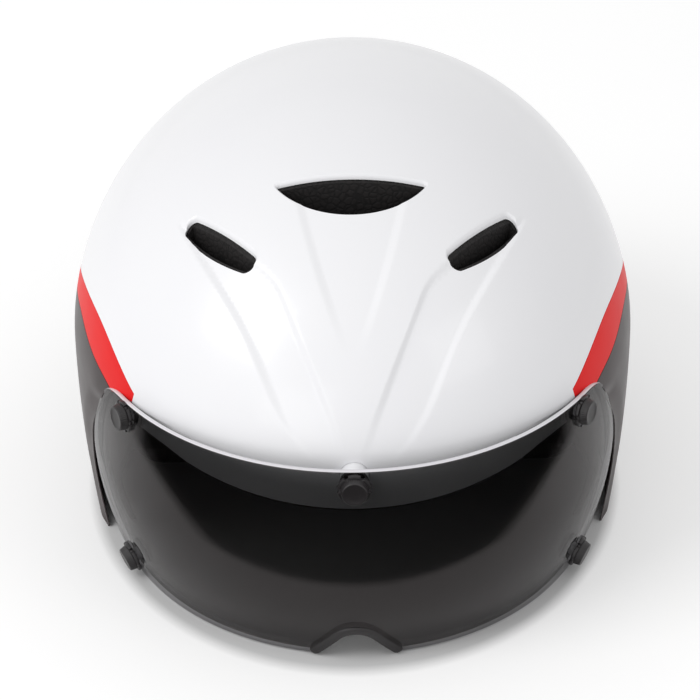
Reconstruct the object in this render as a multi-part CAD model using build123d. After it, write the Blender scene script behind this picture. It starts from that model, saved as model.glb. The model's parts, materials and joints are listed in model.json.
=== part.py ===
from build123d import *
import os
from math import asin, atan2, cos, degrees, hypot, pi, radians, sin, sqrt, tan

# Aero time trial helmet with a magnet-held shield.
# Sizes are in millimetres. Everything is drawn about the middle of the shell's
# widest level, +Z up, the wearer's face towards -Y and the wearer's left at +X,
# and is set down on its rim at the end.

# Shell
half_width = 103.0
front_reach = 121.0
rear_reach = 150.0
crown_height = 93.5
side_fall = 224.0
floor_drop = 70.0
shell_wall = 1.8
seam_gap = 0.2
layer_gap = 0.3
running_gap = 0.3
bearing_gap = 0.05
overrun = 400.0

# Head room inside the liner
head_half_width = 79.0
head_front = 96.0
head_rear = 112.0
head_top = 64.0
head_fall = 260.0
liner_drop = 24.0

# Visor
lens_stand_off = 8.0
lens_side_inset = 5.5
lens_setback = 12.0
lens_wall = 2.2
lens_clearance = 2.4
lens_top = 10.3
lens_waist = 27.0
lens_curl = 96.5
lens_foot_gap = 0.6
rebate_gap = 1.2

# Nose notch and its rubber edge
notch_half_width = 17.8
notch_height = 15.4
notch_top_radius = 11.0
trim_width = 3.8
trim_grip = 2.0
trim_proud = 0.9

# Buttons and magnets
button_radius = 4.7
button_height = 2.6
button_base_radius = 5.75
button_base_height = 1.2
button_stem_radius = 2.4
base_notches = 6
base_notch_radius = 0.9
cup_radius = 5.0
cup_height = 1.8
cup_floor = 0.4
visor_magnet_radius = 3.6
seat_radius = 5.0
seat_depth = 10.0
shell_magnet_radius = 4.2
shell_magnet_height = 2.0
side_button_x = 79.0
side_button_drop = 5.6
middle_button_drop = 6.6
low_button_x = 80.0
low_button_drop = 61.5

# Intakes and exhausts
intake_half_width = 26.0
intake_rear_y = -54.5
intake_depth = 15.0
duct_inset = 1.0
side_intake_outer_x = 56.0
side_intake_outer_y = -54.8
side_intake_inner_x = 33.0
side_intake_inner_y = -80.2
side_intake_width = 4.6
side_intake_bow = 2.4
exhaust_x = 34.0
exhaust_z = 44.0
exhaust_length = 34.0
exhaust_width = 9.0
exhaust_tilt = 24.0

# Pads
pad_height = 5.0
dot_height = 1.0
dot_radius = 8.0
pad_gap = 0.1
brow_pad_half_width = 60.0
brow_pad_height = 20.0
pad_corner = 8.0
crown_pad_width = 30.0
crown_pad_front = 40.0
crown_pad_rear = 62.0
side_pad_x = 43.0
side_pad_width = 18.0
side_pad_front = 34.0
side_pad_rear = 50.0

# Straps
strap_width = 15.0
strap_thick = 1.2
strap_inset = 19.0
front_anchor_y = -14.0
rear_anchor_y = 38.0
divider_y = 8.0
divider_drop = 47.0
divider_length = 24.0
divider_height = 18.0
divider_thick = 4.6
divider_corner = 4.0
anchor_length = 26.0
anchor_shift = 5.0
anchor_thick = 8.0
anchor_height = 12.6
strap_entry = 5.7
chin_drop = 63.0
chin_bend_radius = 11.0

# Buckle
socket_length = 27.0
socket_width = 24.0
socket_height = 9.0
socket_wall = 1.6
plug_grip_length = 15.0
prong_length = 18.0
prong_width = 3.6
prong_height = 3.6
window_length = 8.0
keeper_x = 50.0
keeper_length = 6.0
keeper_wall = 1.4

# Fit cradle
dial_drop = 43.0
cradle_travel = 6.0
housing_front_y = 99.2
housing_split_y = 105.3
housing_rear_y = 110.0
housing_half_width = 24.0
housing_half_height = 11.5
housing_corner = 6.0
housing_wall = 2.6
rack_front_y = 103.8
rack_thick = 3.2
pinion_teeth = 10
pinion_pitch_radius = 4.0
pinion_tip = 0.75
pinion_root = 1.0
tooth_base = 1.5
tooth_tip = 0.5
rack_tooth_base = 1.2
rack_tooth_tip = 0.45
rack_bar_height = 3.5
rack_inner_x = 5.0
rack_travel = 14.0
rack_lead_teeth = 1.5
wing_start_x = 41.0
wing_slant_x = 16.4
wing_slant_y = 32.0
wing_bend_radius = 32.0
wing_side_x = 79.0
wing_front_y = 50.0
wing_height = 20.0
wing_thick = 2.6
front_journal_radius = 2.0
rear_journal_radius = 3.0
drive_width = 4.0
knob_radius = 12.0
knob_length = 8.6
knob_gap = 0.5
knob_ribs = 18
knob_rib_radius = 1.1
knob_wall = 2.4
spring_radius = 7.0
spring_width = 1.0
spring_height = 2.0
spring_opening = 50.0
screw_x = 17.0
screw_radius = 1.3
screw_head_radius = 2.4
screw_head_height = 1.5
screw_boss_radius = 2.8
yoke_bend_radius = 80.0
yoke_thick = 2.5
yoke_half_width = 42.0
yoke_height = 27.0
yoke_window_width = 12.0
yoke_window_height = 15.0
yoke_window_x = 30.0
yoke_corner = 7.0
cradle_pad_height = 4.0
cradle_pad_margin = 3.0
post_width = 16.0
post_thick = 2.2
post_front_y = 107.0
post_top = 10.0
guide_wall = 3.6
guide_lip = 1.0
guide_lip_width = 3.4

# Worked out from the sizes above
lens_reach = front_reach + lens_stand_off - lens_setback
lens_half_width = half_width - lens_side_inset
lens_bottom = -(floor_drop - lens_foot_gap)
seat_face_depth = lens_wall + cup_height + running_gap
strap_x = half_width - strap_inset
dial_z = -dial_drop
front_tip = front_reach + lens_stand_off + button_base_height + button_height
middle_y = (rear_reach - front_tip) / 2

# Outlines seen from the side, as shares. The first number is a share of the
# front reach where it is negative and of the rear reach where it is positive.
# The second is a share of the crown height above the widest level and of the
# drop to the floor below it.
brow_edge_shares = ((-1.0, -0.129), (-0.9, -0.07), (-0.777, -0.005))
temple_shares = (-0.653, 0.0)
stripe_corner_shares = (-0.665, 0.141)
stripe_top_shares = ((-0.562, 0.222), (-0.426, 0.286), (-0.306, 0.299),
                     (-0.149, 0.283), (0.02, 0.23))
stripe_tip_shares = (0.3, 0.118)
stripe_low_shares = ((-0.008, 0.172), (-0.248, 0.202), (-0.446, 0.137), (-0.56, 0.087))
tail_seam_shares = ((0.6, 0.055), (1.05, 0.0))
port_edge_shares = ((-0.545, -0.29), (-0.43, -0.55), (-0.33, -0.8))
port_foot_shares = (-0.281, -1.0)
rim_rear_shares = (0.34, -1.0)
rim_rise_shares = ((0.47, -0.93), (0.68, -0.66), (0.86, -0.46))
rim_tail_shares = (1.05, -0.385)
liner_edge_shares = ((-1.0, -0.165), (-0.777, -0.045), (-0.64, -0.045), (-0.545, -0.25))
liner_level_share = -0.42
# Corners of the lens outline, the same way, from its top edge to its heel, and
# their radii as shares of the front reach.
lens_corner_share = -0.554
lens_edge_shares = ((-0.33, -0.3), (-0.235, -0.62), (-0.215, -0.78))
lens_heel_share = -0.27
lens_radius_shares = (0.165, 0.45, 0.2, 0.115, 0.05)
lens_curl_over_share = 1.1


def side_place(share_y, share_z):
    """A point of the side view from its two shares."""
    reach = front_reach if share_y < 0 else rear_reach
    rise = floor_drop if share_z < 0 else crown_height
    return (share_y * reach, share_z * rise)


def slab_x(face, low, high):
    """A face of the side view, drawn out between two x values."""
    return extrude(Plane.YZ.offset(low) * face, amount=high - low)


def slab_y(face, low, high):
    """A face of the front view, drawn out between two y values."""
    return extrude(Plane.XZ.offset(-low) * face, amount=low - high)


def slab_z(face, low, high):
    """A face of the plan view, drawn out between two z values."""
    return extrude(Plane.XY.offset(low) * face, amount=high - low)


def across(face):
    """A face of the side view, drawn out past both sides of the helmet."""
    return slab_x(face, -overrun, overrun)


def both_sides(shape):
    """A shape and its mirror image on the other side."""
    return [shape, mirror(shape, about=Plane.YZ)]


def oval_form(width, front, rear, top, bottom):
    """Four quarter ovals, with their poles at the sides, that meet smoothly."""
    quarters = []
    for reach, rise, turn in ((front, top, 180), (front, bottom, 270),
                              (rear, bottom, 0), (rear, top, 90)):
        ball = Sphere(1, arc_size1=-90, arc_size2=90, arc_size3=90, align=None)
        unit = Rot(turn, 0, 0) * Rot(0, 90, 0) * ball
        quarters.append(scale(unit, by=(width, reach, rise)))
    return quarters[0] + quarters[1:]


def shell_form(inset):
    """The whole helmet's smooth outer form, drawn in by an inset."""
    return oval_form(half_width - inset, front_reach - inset, rear_reach - inset,
                     crown_height - inset, side_fall - inset)


def head_form(inset):
    """The room for the head: a dome on sides that hardly draw in."""
    return oval_form(head_half_width - inset, head_front - inset, head_rear - inset,
                     head_top - inset, head_fall - inset)


def lens_radius(height):
    """Half-depth of the lens at a height: straight above its waist, curled in below."""
    under = min(height + lens_waist, 0)
    return lens_reach - lens_curl + sqrt(lens_curl ** 2 - under ** 2)


def lens_form(inset):
    """The solid inside the lens's outer face, drawn in by an inset."""
    reach = lens_reach - inset
    curl = lens_curl - inset
    turn = asin((floor_drop * lens_curl_over_share - lens_waist) / lens_curl)
    wall = Line((reach, crown_height), (reach, -lens_waist))
    bend = CenterArc((reach - curl, -lens_waist), curl, 0, -degrees(turn))
    foot = Line(bend @ 1, (0, (bend @ 1).Y))
    spine = Line(foot @ 1, (0, crown_height))
    top = Line(spine @ 1, wall @ 0)
    profile = Plane.XZ * make_face([wall, bend, foot, spine, top])
    half = Rot(0, 0, 180) * revolve(profile, axis=Axis.Z, revolution_arc=180)
    squeeze = (lens_half_width - inset) / reach
    return Pos(0, -lens_setback, 0) * scale(half, by=(squeeze, 1, 1))


def lens_outline():
    """The lens from the side: a level top edge, a broad corner, a slanting rear edge."""
    corner = (lens_corner_share * front_reach, lens_top)
    edge = [side_place(*shares) for shares in lens_edge_shares]
    heel = (lens_heel_share * front_reach, lens_bottom)
    radii = [share * front_reach for share in lens_radius_shares]
    start = (-overrun, lens_top)
    end = (-overrun, lens_bottom)
    path = FilletPolyline(start, corner, *edge, heel, end, radius=radii)
    return make_face([*path.edges(), Line(end, start)])


def body_form(inset):
    """The shell's form with a rebate that follows the lens at an even depth."""
    zone = across(offset(lens_outline(), rebate_gap + inset))
    rebate = zone - lens_form(lens_wall + lens_clearance + inset)
    return shell_form(inset) - rebate


def white_zone():
    """Side view of the upper shell: above the brow edge, the stripe and the tail seam."""
    brow = [side_place(*shares) for shares in brow_edge_shares]
    temple = side_place(*temple_shares)
    corner = side_place(*stripe_corner_shares)
    tip = side_place(*stripe_tip_shares)
    start = (-overrun, brow[0][1])
    tail = [side_place(*shares) for shares in tail_seam_shares]
    end = (overrun, tail[-1][1])
    edges = [
        Line(start, brow[0]),
        Spline(*brow, temple),
        Line(temple, corner),
        stripe_top_edge(),
        Spline(tip, *tail),
        Line(tail[-1], end),
        Line(end, (overrun, overrun)),
        Line((overrun, overrun), (-overrun, overrun)),
        Line((-overrun, overrun), start),
    ]
    return make_face(edges)


def stripe_top_edge():
    """The stripe's upper edge, from its front corner back to its tip."""
    places = [stripe_corner_shares, *stripe_top_shares, stripe_tip_shares]
    return Spline(*[side_place(*shares) for shares in places])


def stripe_zone():
    """Side view of the swoosh: it rises from the temple and thins towards the rear."""
    temple = side_place(*temple_shares)
    corner = side_place(*stripe_corner_shares)
    low = [stripe_tip_shares, *stripe_low_shares, temple_shares]
    lower_edge = Spline(*[side_place(*shares) for shares in low])
    return make_face([Line(temple, corner), stripe_top_edge(), lower_edge])


def port_zone():
    """Side view of the face opening: below the brow and ahead of the ear covers."""
    brow = [side_place(*shares) for shares in brow_edge_shares]
    temple = side_place(*temple_shares)
    places = [temple_shares, *port_edge_shares, port_foot_shares]
    foot = side_place(*port_foot_shares)
    start = (-overrun, brow[0][1])
    edges = [
        Line(start, brow[0]),
        Spline(*brow, temple),
        Spline(*[side_place(*shares) for shares in places]),
        Line(foot, (foot[0], -overrun)),
        Line((foot[0], -overrun), (-overrun, -overrun)),
        Line((-overrun, -overrun), start),
    ]
    return make_face(edges)


def rim_zone():
    """Side view of what lies under the rim: flat below the ears, rising to the tail."""
    flat_end = side_place(*rim_rear_shares)
    tail = side_place(*rim_tail_shares)
    places = [rim_rear_shares, *rim_rise_shares, rim_tail_shares]
    edges = [
        Line((-overrun, flat_end[1]), flat_end),
        Spline(*[side_place(*shares) for shares in places]),
        Line(tail, (overrun, tail[1])),
        Line((overrun, tail[1]), (overrun, -overrun)),
        Line((overrun, -overrun), (-overrun, -overrun)),
        Line((-overrun, -overrun), (-overrun, flat_end[1])),
    ]
    return make_face(edges)


def liner_under_zone():
    """Side view of what lies under the foam liner."""
    edge = [side_place(*shares) for shares in liner_edge_shares]
    bend = (liner_level_share * front_reach, -liner_drop)
    points = [(-overrun, edge[0][1]), *edge, bend, (overrun, -liner_drop)]
    points += [(overrun, -overrun), (-overrun, -overrun)]
    return make_face(Polyline(*points, close=True))


# Intakes and exhausts


def intake_face(inset):
    """Plan of the middle intake: a straight rear edge and a bowed front edge."""
    half = intake_half_width
    rear = (-half, intake_rear_y), (half, intake_rear_y)
    bow = ThreePointArc(rear[0], (0, intake_rear_y - intake_depth), rear[1])
    face = make_face([Line(*rear), bow])
    return offset(face, -inset) if inset else face


def side_intake_face(inset):
    """Plan of one side intake: a slanted slot with a straight rear edge and a bowed front edge."""
    run = side_intake_outer_x - side_intake_inner_x
    rise = side_intake_outer_y - side_intake_inner_y
    reach = hypot(run, rise) / 2
    half = side_intake_width / 2
    bow = ThreePointArc((-reach, -half), (0, -half - side_intake_bow), (reach, -half))
    sides = Polyline((reach, -half), (reach, half), (-reach, half), (-reach, -half))
    face = make_face([*sides.edges(), bow])
    if inset:
        face = offset(face, -inset)
    middle = Pos(side_intake_inner_x + run / 2, side_intake_inner_y + rise / 2)
    return middle * Rot(0, 0, degrees(atan2(rise, run))) * face


def exhaust_face(inset):
    """Rear view of one exhaust: a slanted slot with round ends."""
    slot = SlotOverall(exhaust_length - 2 * inset, exhaust_width - 2 * inset)
    return Pos(exhaust_x, exhaust_z) * Rot(0, 0, -exhaust_tilt) * slot


def air_cutters(inset):
    """The openings for air, as solids: three intakes from above, two exhausts from behind."""
    cutters = [slab_z(intake_face(inset), 0, overrun)]
    cutters += both_sides(slab_z(side_intake_face(inset), 0, overrun))
    cutters += both_sides(slab_y(exhaust_face(inset), 0, overrun))
    return cutters


# Places of the buttons on the lens


def lens_plane(x, z):
    """A plane on the lens's outer face, with its normal pointing out."""
    radius = lens_radius(z)
    squeeze = lens_half_width / lens_reach
    y = -sqrt(radius ** 2 - (x / squeeze) ** 2)
    under = min(z + lens_waist, 0)
    slope = -under / sqrt(lens_curl ** 2 - under ** 2)
    normal = (x / squeeze ** 2, y, -radius * slope)
    return Plane(origin=(x, y - lens_setback, z), x_dir=(-y, x, 0), z_dir=normal)


def top_button_planes():
    """Planes of the three buttons that face the magnets of the shell."""
    side_z = lens_top - side_button_drop
    return [lens_plane(0, lens_top - middle_button_drop),
            lens_plane(side_button_x, side_z), lens_plane(-side_button_x, side_z)]


def button_planes():
    """Planes of all five buttons."""
    low = [lens_plane(side * low_button_x, -low_button_drop) for side in (1, -1)]
    return top_button_planes() + low


def disc(plane, radius, low, high):
    """A round disc on a plane, between two heights over it."""
    return plane * slab_z(Circle(radius), low, high)


# Shell pieces


def make_skin():
    """The whole outer layer, with the air openings and the seats' holes."""
    skin = body_form(0) - body_form(shell_wall)
    skin -= air_cutters(0)
    hole = seat_radius + layer_gap / 2
    for plane in top_button_planes():
        skin -= disc(plane, hole, -(seat_face_depth + seat_depth), 0)
    return skin


def split_skin(skin):
    """The upper shell, the two stripes and the lower shell, a seam apart."""
    white = across(white_zone())
    stripe = across(stripe_zone())
    seam = Pos(0, seam_gap, -seam_gap)
    upper = skin & white
    bands = (skin & stripe) - seam * white
    lower = skin - seam * white - white - seam * stripe - stripe
    lower = lower - across(port_zone()) - across(rim_zone())
    return upper, bands, lower


def largest(shape, count):
    """The largest solids of a shape, which leaves out slivers at its edges."""
    solids = shape.solids().sort_by(SortBy.VOLUME, reverse=True)
    return solids[:count]


def make_liner():
    """The foam liner between the shell and the head."""
    depth = shell_wall + layer_gap
    liner = body_form(depth) - head_form(0) - across(liner_under_zone())
    liner -= air_cutters(duct_inset)
    hole = seat_radius + layer_gap
    for plane in top_button_planes():
        liner -= disc(plane, hole, -(seat_face_depth + seat_depth + layer_gap), 0)
    for y in anchor_places():
        liner -= both_sides(anchor_block(y, layer_gap))
    liner -= guide_block(layer_gap)
    return liner


# Pads


def pad_layer(prisms, low, high):
    """Prisms cut to a layer along the liner's inner face, between two depths."""
    outer = head_form(low)
    inner = head_form(high)
    return [(prism & outer) - inner for prism in prisms]


def brow_pad_face():
    return Pos(0, brow_pad_height / 2) * RectangleRounded(
        2 * brow_pad_half_width, brow_pad_height, pad_corner)


def crown_pad_face():
    middle = (crown_pad_rear - crown_pad_front) / 2
    return Pos(0, middle) * RectangleRounded(
        crown_pad_width, crown_pad_front + crown_pad_rear, pad_corner)


def side_pad_face():
    middle = (side_pad_rear - side_pad_front) / 2
    return Pos(side_pad_x, middle) * RectangleRounded(
        side_pad_width, side_pad_front + side_pad_rear, pad_corner)


def make_pads():
    """The brow pad, the crown pad and the two side pads."""
    low = dot_height + 2 * pad_gap
    high = low + pad_height
    prisms = [slab_y(brow_pad_face(), -overrun, 0), slab_z(crown_pad_face(), 0, overrun),
              slab_z(side_pad_face(), 0, overrun)]
    brow, crown, side = pad_layer(prisms, low, high)
    return brow, crown, side, mirror(side, about=Plane.YZ)


def make_dots():
    """Round hook-and-loop dots between the liner and the pads."""
    low = pad_gap
    high = pad_gap + dot_height
    crown_end = crown_pad_rear - 2 * dot_radius
    crown_start = crown_pad_front - 2 * dot_radius
    side_end = side_pad_rear - 2 * dot_radius
    side_start = side_pad_front - 2 * dot_radius
    plan = [(0, -crown_start), (0, crown_end)]
    for x in (side_pad_x, -side_pad_x):
        plan += [(x, -side_start), (x, side_end)]
    prisms = [slab_z(Pos(x, y) * Circle(dot_radius), 0, overrun) for x, y in plan]
    middle = brow_pad_height / 2
    for x in (0, brow_pad_half_width / 2, -brow_pad_half_width / 2):
        face = Pos(x, middle) * Circle(dot_radius)
        prisms.append(slab_y(face, -overrun, 0))
    return group(pad_layer(prisms, low, high))


# Visor


def notch_face(inset):
    """Front view of the nose notch: straight flanks that meet in a round top."""
    middle = notch_height - notch_top_radius
    reach = hypot(notch_half_width, middle)
    flank = atan2(middle, notch_half_width) + asin(notch_top_radius / reach)
    apex = notch_half_width * tan(flank)
    left = (-2 * notch_half_width, lens_bottom - apex)
    right = (2 * notch_half_width, lens_bottom - apex)
    path = FilletPolyline(left, (0, lens_bottom + apex), right, radius=notch_top_radius)
    face = make_face([*path.edges(), Line(right, left)])
    return offset(face, -inset) if inset else face


def front_prism(face):
    """A face of the front view, drawn out through the front of the lens."""
    return slab_y(face, -overrun, -lens_setback)


def make_lens():
    """The smoke shield: an even wall, trimmed to its outline, notched over the nose."""
    lens = lens_form(0) - lens_form(lens_wall)
    lens = lens & across(lens_outline())
    lens -= front_prism(notch_face(trim_grip))
    for plane in button_planes():
        lens -= disc(plane, button_stem_radius + bearing_gap, -lens_wall - button_height,
                     button_height)
    return largest(lens, 1)[0]


def make_nose_trim(lens):
    """The rubber edge, which grips the lens round the notch."""
    layer = lens_form(-trim_proud) - lens_form(lens_wall + trim_proud)
    ring = front_prism(notch_face(0)) - front_prism(notch_face(trim_width))
    above = slab_z(Rectangle(overrun, overrun), lens_bottom, crown_height)
    return largest((layer & ring & above) - lens, 1)[0]


def make_button_base(plane):
    """A notched foot on the lens's outer face, with a stem through the lens."""
    foot = disc(plane, button_base_radius, -button_height, button_base_height)
    for k in range(base_notches):
        turn = Rot(0, 0, 360 / base_notches * k)
        notch = slab_z(Circle(base_notch_radius), -button_height, button_base_height)
        foot -= plane * turn * Pos(button_base_radius, 0, 0) * notch
    foot -= lens_form(0)
    stem = disc(plane, button_stem_radius, -2 * lens_wall, button_base_height / 2)
    return foot + (stem - lens_form(lens_wall))


def make_button_cap(plane):
    """The round cap on the foot, with a broken edge."""
    low = button_base_height
    cap = slab_z(Circle(button_radius), low, low + button_height)
    rim = cap.edges().group_by(Axis.Z)[-1]
    return plane * chamfer(rim, button_height / 5)


def make_cup(plane):
    """The cup behind the lens that holds the visor's magnet."""
    cup = disc(plane, cup_radius, -(lens_wall + cup_height), 0) & lens_form(lens_wall)
    pocket = disc(plane, visor_magnet_radius + bearing_gap, -(lens_wall + cup_height),
                  -(lens_wall + 2 * cup_floor))
    return cup - pocket


def make_visor_magnet(plane):
    low = -(lens_wall + cup_height)
    return disc(plane, visor_magnet_radius, low, -(lens_wall + 2 * cup_floor))


def make_seat(plane):
    """The puck in the shell that a top button's cup rests against."""
    low = -(seat_face_depth + seat_depth)
    seat = disc(plane, seat_radius, low, -seat_face_depth)
    pocket = disc(plane, shell_magnet_radius + bearing_gap,
                  -(seat_face_depth + shell_magnet_height), -seat_face_depth)
    return seat - pocket


def make_shell_magnet(plane):
    low = -(seat_face_depth + shell_magnet_height)
    return disc(plane, shell_magnet_radius, low, -seat_face_depth)


# Straps


def anchor_places():
    """Where the anchors stand: past their straps' ends, towards the divider."""
    return front_anchor_y + anchor_shift, rear_anchor_y - anchor_shift


def anchor_block(y, grow):
    """The block that holds a strap's upper end, in the liner's lower face."""
    face = Pos(strap_x, y) * Rectangle(anchor_thick + 2 * grow, anchor_length + 2 * grow)
    low = -liner_drop - (overrun if grow else 0)
    return slab_z(face, low, -liner_drop + anchor_height + grow)


def webbing(path, wide_dir):
    """Flat webbing along a path, with its width along a direction."""
    start = Plane(origin=path @ 0, x_dir=wide_dir, z_dir=path % 0)
    return sweep(start * Rectangle(strap_width, strap_thick), path=path)


def side_strap(anchor_y, x):
    """One leg of the webbing that runs from the liner down to the divider."""
    top = (anchor_y, strap_entry - liner_drop)
    run = (divider_y - top[0], -divider_drop - top[1])
    stop_share = 1 - strap_thick * 3 / abs(run[1])
    end = (top[0] + run[0] * stop_share, top[1] + run[1] * stop_share)
    path = Line((x, *top), (x, *end))
    return webbing(path, (0, -run[1], run[0]))


def divider_plate():
    face = Pos(divider_y, -divider_drop) * RectangleRounded(
        divider_length, divider_height, divider_corner)
    return slab_x(face, strap_x - divider_thick / 2, strap_x + divider_thick / 2)


def chin_path(end_x):
    """From the divider down, round a bend, and level to the buckle."""
    top = (strap_x, divider_y, -divider_drop - strap_thick * 2)
    bend = (strap_x, divider_y, -chin_drop)
    end = (end_x, divider_y, -chin_drop)
    return FilletPolyline(top, bend, end, radius=chin_bend_radius)


def make_straps():
    """The webbing on the wearer's left, the divider, and both chin straps."""
    step = strap_thick * 2 / 3
    front = side_strap(front_anchor_y, strap_x + step)
    rear = side_strap(rear_anchor_y, strap_x - step)
    left = webbing(chin_path(socket_length), (0, 1, 0))
    right = mirror(webbing(chin_path(plug_grip_length), (0, 1, 0)), about=Plane.YZ)
    divider = divider_plate() - front - rear - left
    return front, rear, left, right, divider


def make_anchors(straps):
    """Four blocks in the liner, each with a slot for its strap."""
    blocks = []
    for y in anchor_places():
        blocks += both_sides(anchor_block(y, 0))
    for strap in straps:
        blocks = [block - strap for block in blocks]
    return group(blocks)


def buckle_block(low_x, high_x, width, height, corner):
    """A rounded block on the line of the chin strap."""
    face = Pos((low_x + high_x) / 2, divider_y) * RectangleRounded(
        high_x - low_x, width, corner)
    return slab_z(face, -chin_drop - height / 2, -chin_drop + height / 2)


def make_socket(strap):
    """The buckle's socket: a hollow open towards the plug, with a window at each side."""
    corner = 2 * socket_wall
    socket = buckle_block(0, socket_length, socket_width, socket_height, corner)
    hollow_end = prong_length + 2 * running_gap
    inner_height = prong_height + 2 * running_gap
    inner_width = socket_width - 2 * socket_wall
    hollow = Pos((hollow_end - overrun) / 2, divider_y, -chin_drop) * Box(
        hollow_end + overrun, inner_width, inner_height)
    middle_x = hollow_end - window_length / 2 - socket_wall
    windows = Pos(middle_x, divider_y, -chin_drop) * Box(
        window_length, 2 * socket_width, inner_height)
    return socket - hollow - windows - strap


def make_plug(strap):
    """The buckle's plug: a grip, two side prongs and a middle guide."""
    corner = 2 * socket_wall
    low = -running_gap - plug_grip_length
    plug = buckle_block(low, -running_gap, socket_width, socket_height, corner)
    inner_width = socket_width - 2 * socket_wall
    outer_y = inner_width / 2 - running_gap - prong_width / 2
    reach = prong_length + plug_grip_length / 2
    middle_x = prong_length - reach / 2
    for y in (outer_y, 0, -outer_y):
        plug += Pos(middle_x, divider_y + y, -chin_drop) * Box(
            reach, prong_width, prong_height)
    return plug - strap


def make_keeper(strap):
    """The rubber loop that holds the webbing's tail."""
    room = strap_thick + layer_gap
    outer = Box(keeper_length, strap_width + 2 * keeper_wall + layer_gap,
                room + 2 * keeper_wall)
    inner = Box(2 * keeper_length, strap_width + layer_gap, room)
    ring = fillet(outer.edges().filter_by(Axis.X), keeper_wall / 2) - inner
    return Pos(keeper_x, divider_y, -chin_drop) * ring


# Fit cradle, dial and toothed bands


def guide_block(grow):
    """The outer box of the post's guide, let into the liner's rear wall."""
    half = post_width / 2 + running_gap + guide_wall + grow
    front = post_front_y - running_gap - guide_lip
    rear = post_front_y + post_thick + running_gap + guide_wall
    face = Pos(0, (front + rear + grow) / 2) * Rectangle(2 * half, rear - front + grow)
    low = -liner_drop + post_thick * 2 - (overrun if grow else 0)
    return slab_z(face, low, post_top + cradle_travel + post_thick / 2 + grow)


def make_guide():
    """A channel with two lips, which the cradle's post slides in."""
    width = post_width + 2 * running_gap
    low = post_front_y - running_gap
    high = post_front_y + post_thick + running_gap
    channel = Pos(0, (low + high) / 2) * Rectangle(width, high - low)
    mouth = Pos(0, low - guide_lip) * Rectangle(width - 2 * guide_lip_width, 3 * guide_lip)
    cut = slab_z(channel, -overrun, overrun) + slab_z(mouth, -overrun, overrun)
    return guide_block(0) - cut


def housing_face(grow):
    return Pos(0, dial_z) * RectangleRounded(
        2 * (housing_half_width + grow), 2 * (housing_half_height + grow),
        housing_corner + grow)


def housing_cavity():
    """Room for the pinion and the two toothed bands, open at the bands' sides."""
    low = rack_front_y - running_gap
    high = rack_front_y + rack_thick + running_gap
    inner = housing_half_width - housing_wall
    half_height = rack_top() + running_gap
    room = Pos(0, dial_z) * Rectangle(2 * inner, 2 * half_height)
    slot_height = rack_bar_height + 2 * running_gap
    slot_z = rack_top() - rack_bar_height / 2
    left = Pos(housing_half_width, dial_z + slot_z) * Rectangle(
        4 * housing_wall, slot_height)
    right = Pos(-housing_half_width, dial_z - slot_z) * Rectangle(
        4 * housing_wall, slot_height)
    cavity = slab_y(room, low, high) + slab_y(left, low, high) + slab_y(right, low, high)
    for x in (screw_x, -screw_x):
        boss = Pos(x, dial_z) * Circle(screw_boss_radius)
        cavity -= slab_y(boss, low - housing_wall, high + housing_wall)
    return cavity


def dial_bar(radius, low, high):
    """A round bar on the dial's axis."""
    return slab_y(Pos(0, dial_z) * Circle(radius), low, high)


def screw_holes():
    """Holes for the two screws, with room for their heads at the rear."""
    holes = []
    for x in (screw_x, -screw_x):
        shank = Pos(x, dial_z) * Circle(screw_radius)
        head = Pos(x, dial_z) * Circle(screw_head_radius + bearing_gap)
        front = housing_front_y - 2 * housing_wall
        holes.append(slab_y(shank, front, housing_rear_y))
        holes.append(slab_y(head, housing_rear_y - screw_head_height, housing_rear_y))
    return holes


def make_housing():
    """The front half of the dial's housing."""
    housing = slab_y(housing_face(0), housing_front_y, housing_split_y)
    front_bore = dial_bar(front_journal_radius + bearing_gap,
                          housing_front_y + housing_wall / 2, rack_front_y)
    return housing - housing_cavity() - front_bore - screw_holes()


def make_cover():
    """The rear half of the housing, with the height post on top."""
    cover = slab_y(housing_face(0), housing_split_y, housing_rear_y)
    foot = dial_z + housing_half_height - housing_wall / 2
    post_face = Pos(0, (foot + post_top) / 2) * Rectangle(post_width, post_top - foot)
    cover += slab_y(post_face, post_front_y, post_front_y + post_thick)
    rear_bore = dial_bar(rear_journal_radius + bearing_gap, housing_split_y, overrun)
    groove_low = housing_rear_y - spring_height / 2
    groove = dial_bar(spring_radius + spring_width, groove_low, housing_rear_y)
    groove -= dial_bar(spring_radius - spring_width, groove_low, housing_rear_y)
    return cover - housing_cavity() - rear_bore - groove - screw_holes()


def make_spring():
    """An open ring in the cover's groove, which the knob clicks over."""
    low = housing_rear_y - spring_height / 2
    high = low + spring_height
    ring = dial_bar(spring_radius + spring_width / 2, low, high)
    ring -= dial_bar(spring_radius - spring_width / 2, low, high)
    reach = 2 * spring_radius
    corner = reach * sin(radians(spring_opening / 2))
    gap = Polyline((0, 0), (-corner, -reach), (corner, -reach), close=True)
    return ring - slab_y(Pos(0, dial_z) * make_face(gap), low, high)


def make_screws():
    screws = []
    for x in (screw_x, -screw_x):
        shank = Pos(x, dial_z) * Circle(screw_radius)
        head = Pos(x, dial_z) * Circle(screw_head_radius)
        shank_low = housing_front_y - yoke_thick
        neck = housing_rear_y - screw_head_height
        screw = slab_y(shank, shank_low, neck)
        screw += slab_y(head, neck, housing_rear_y - bearing_gap)
        screws.append(screw)
    return group(screws)


def yoke_layer(low, high, half_width_now, height_now):
    """A layer of the curved plate behind the head, between two depths from its back."""
    middle = (0, housing_front_y - yoke_bend_radius - yoke_thick)
    outer = yoke_bend_radius + yoke_thick - low
    inner = yoke_bend_radius + yoke_thick - high
    ring = Pos(*middle) * (Circle(outer) - Circle(inner))
    band = slab_z(ring, -overrun, overrun)
    face = Pos(0, dial_z) * RectangleRounded(2 * half_width_now, height_now, yoke_corner)
    return band & slab_y(face, 0, overrun)


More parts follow.
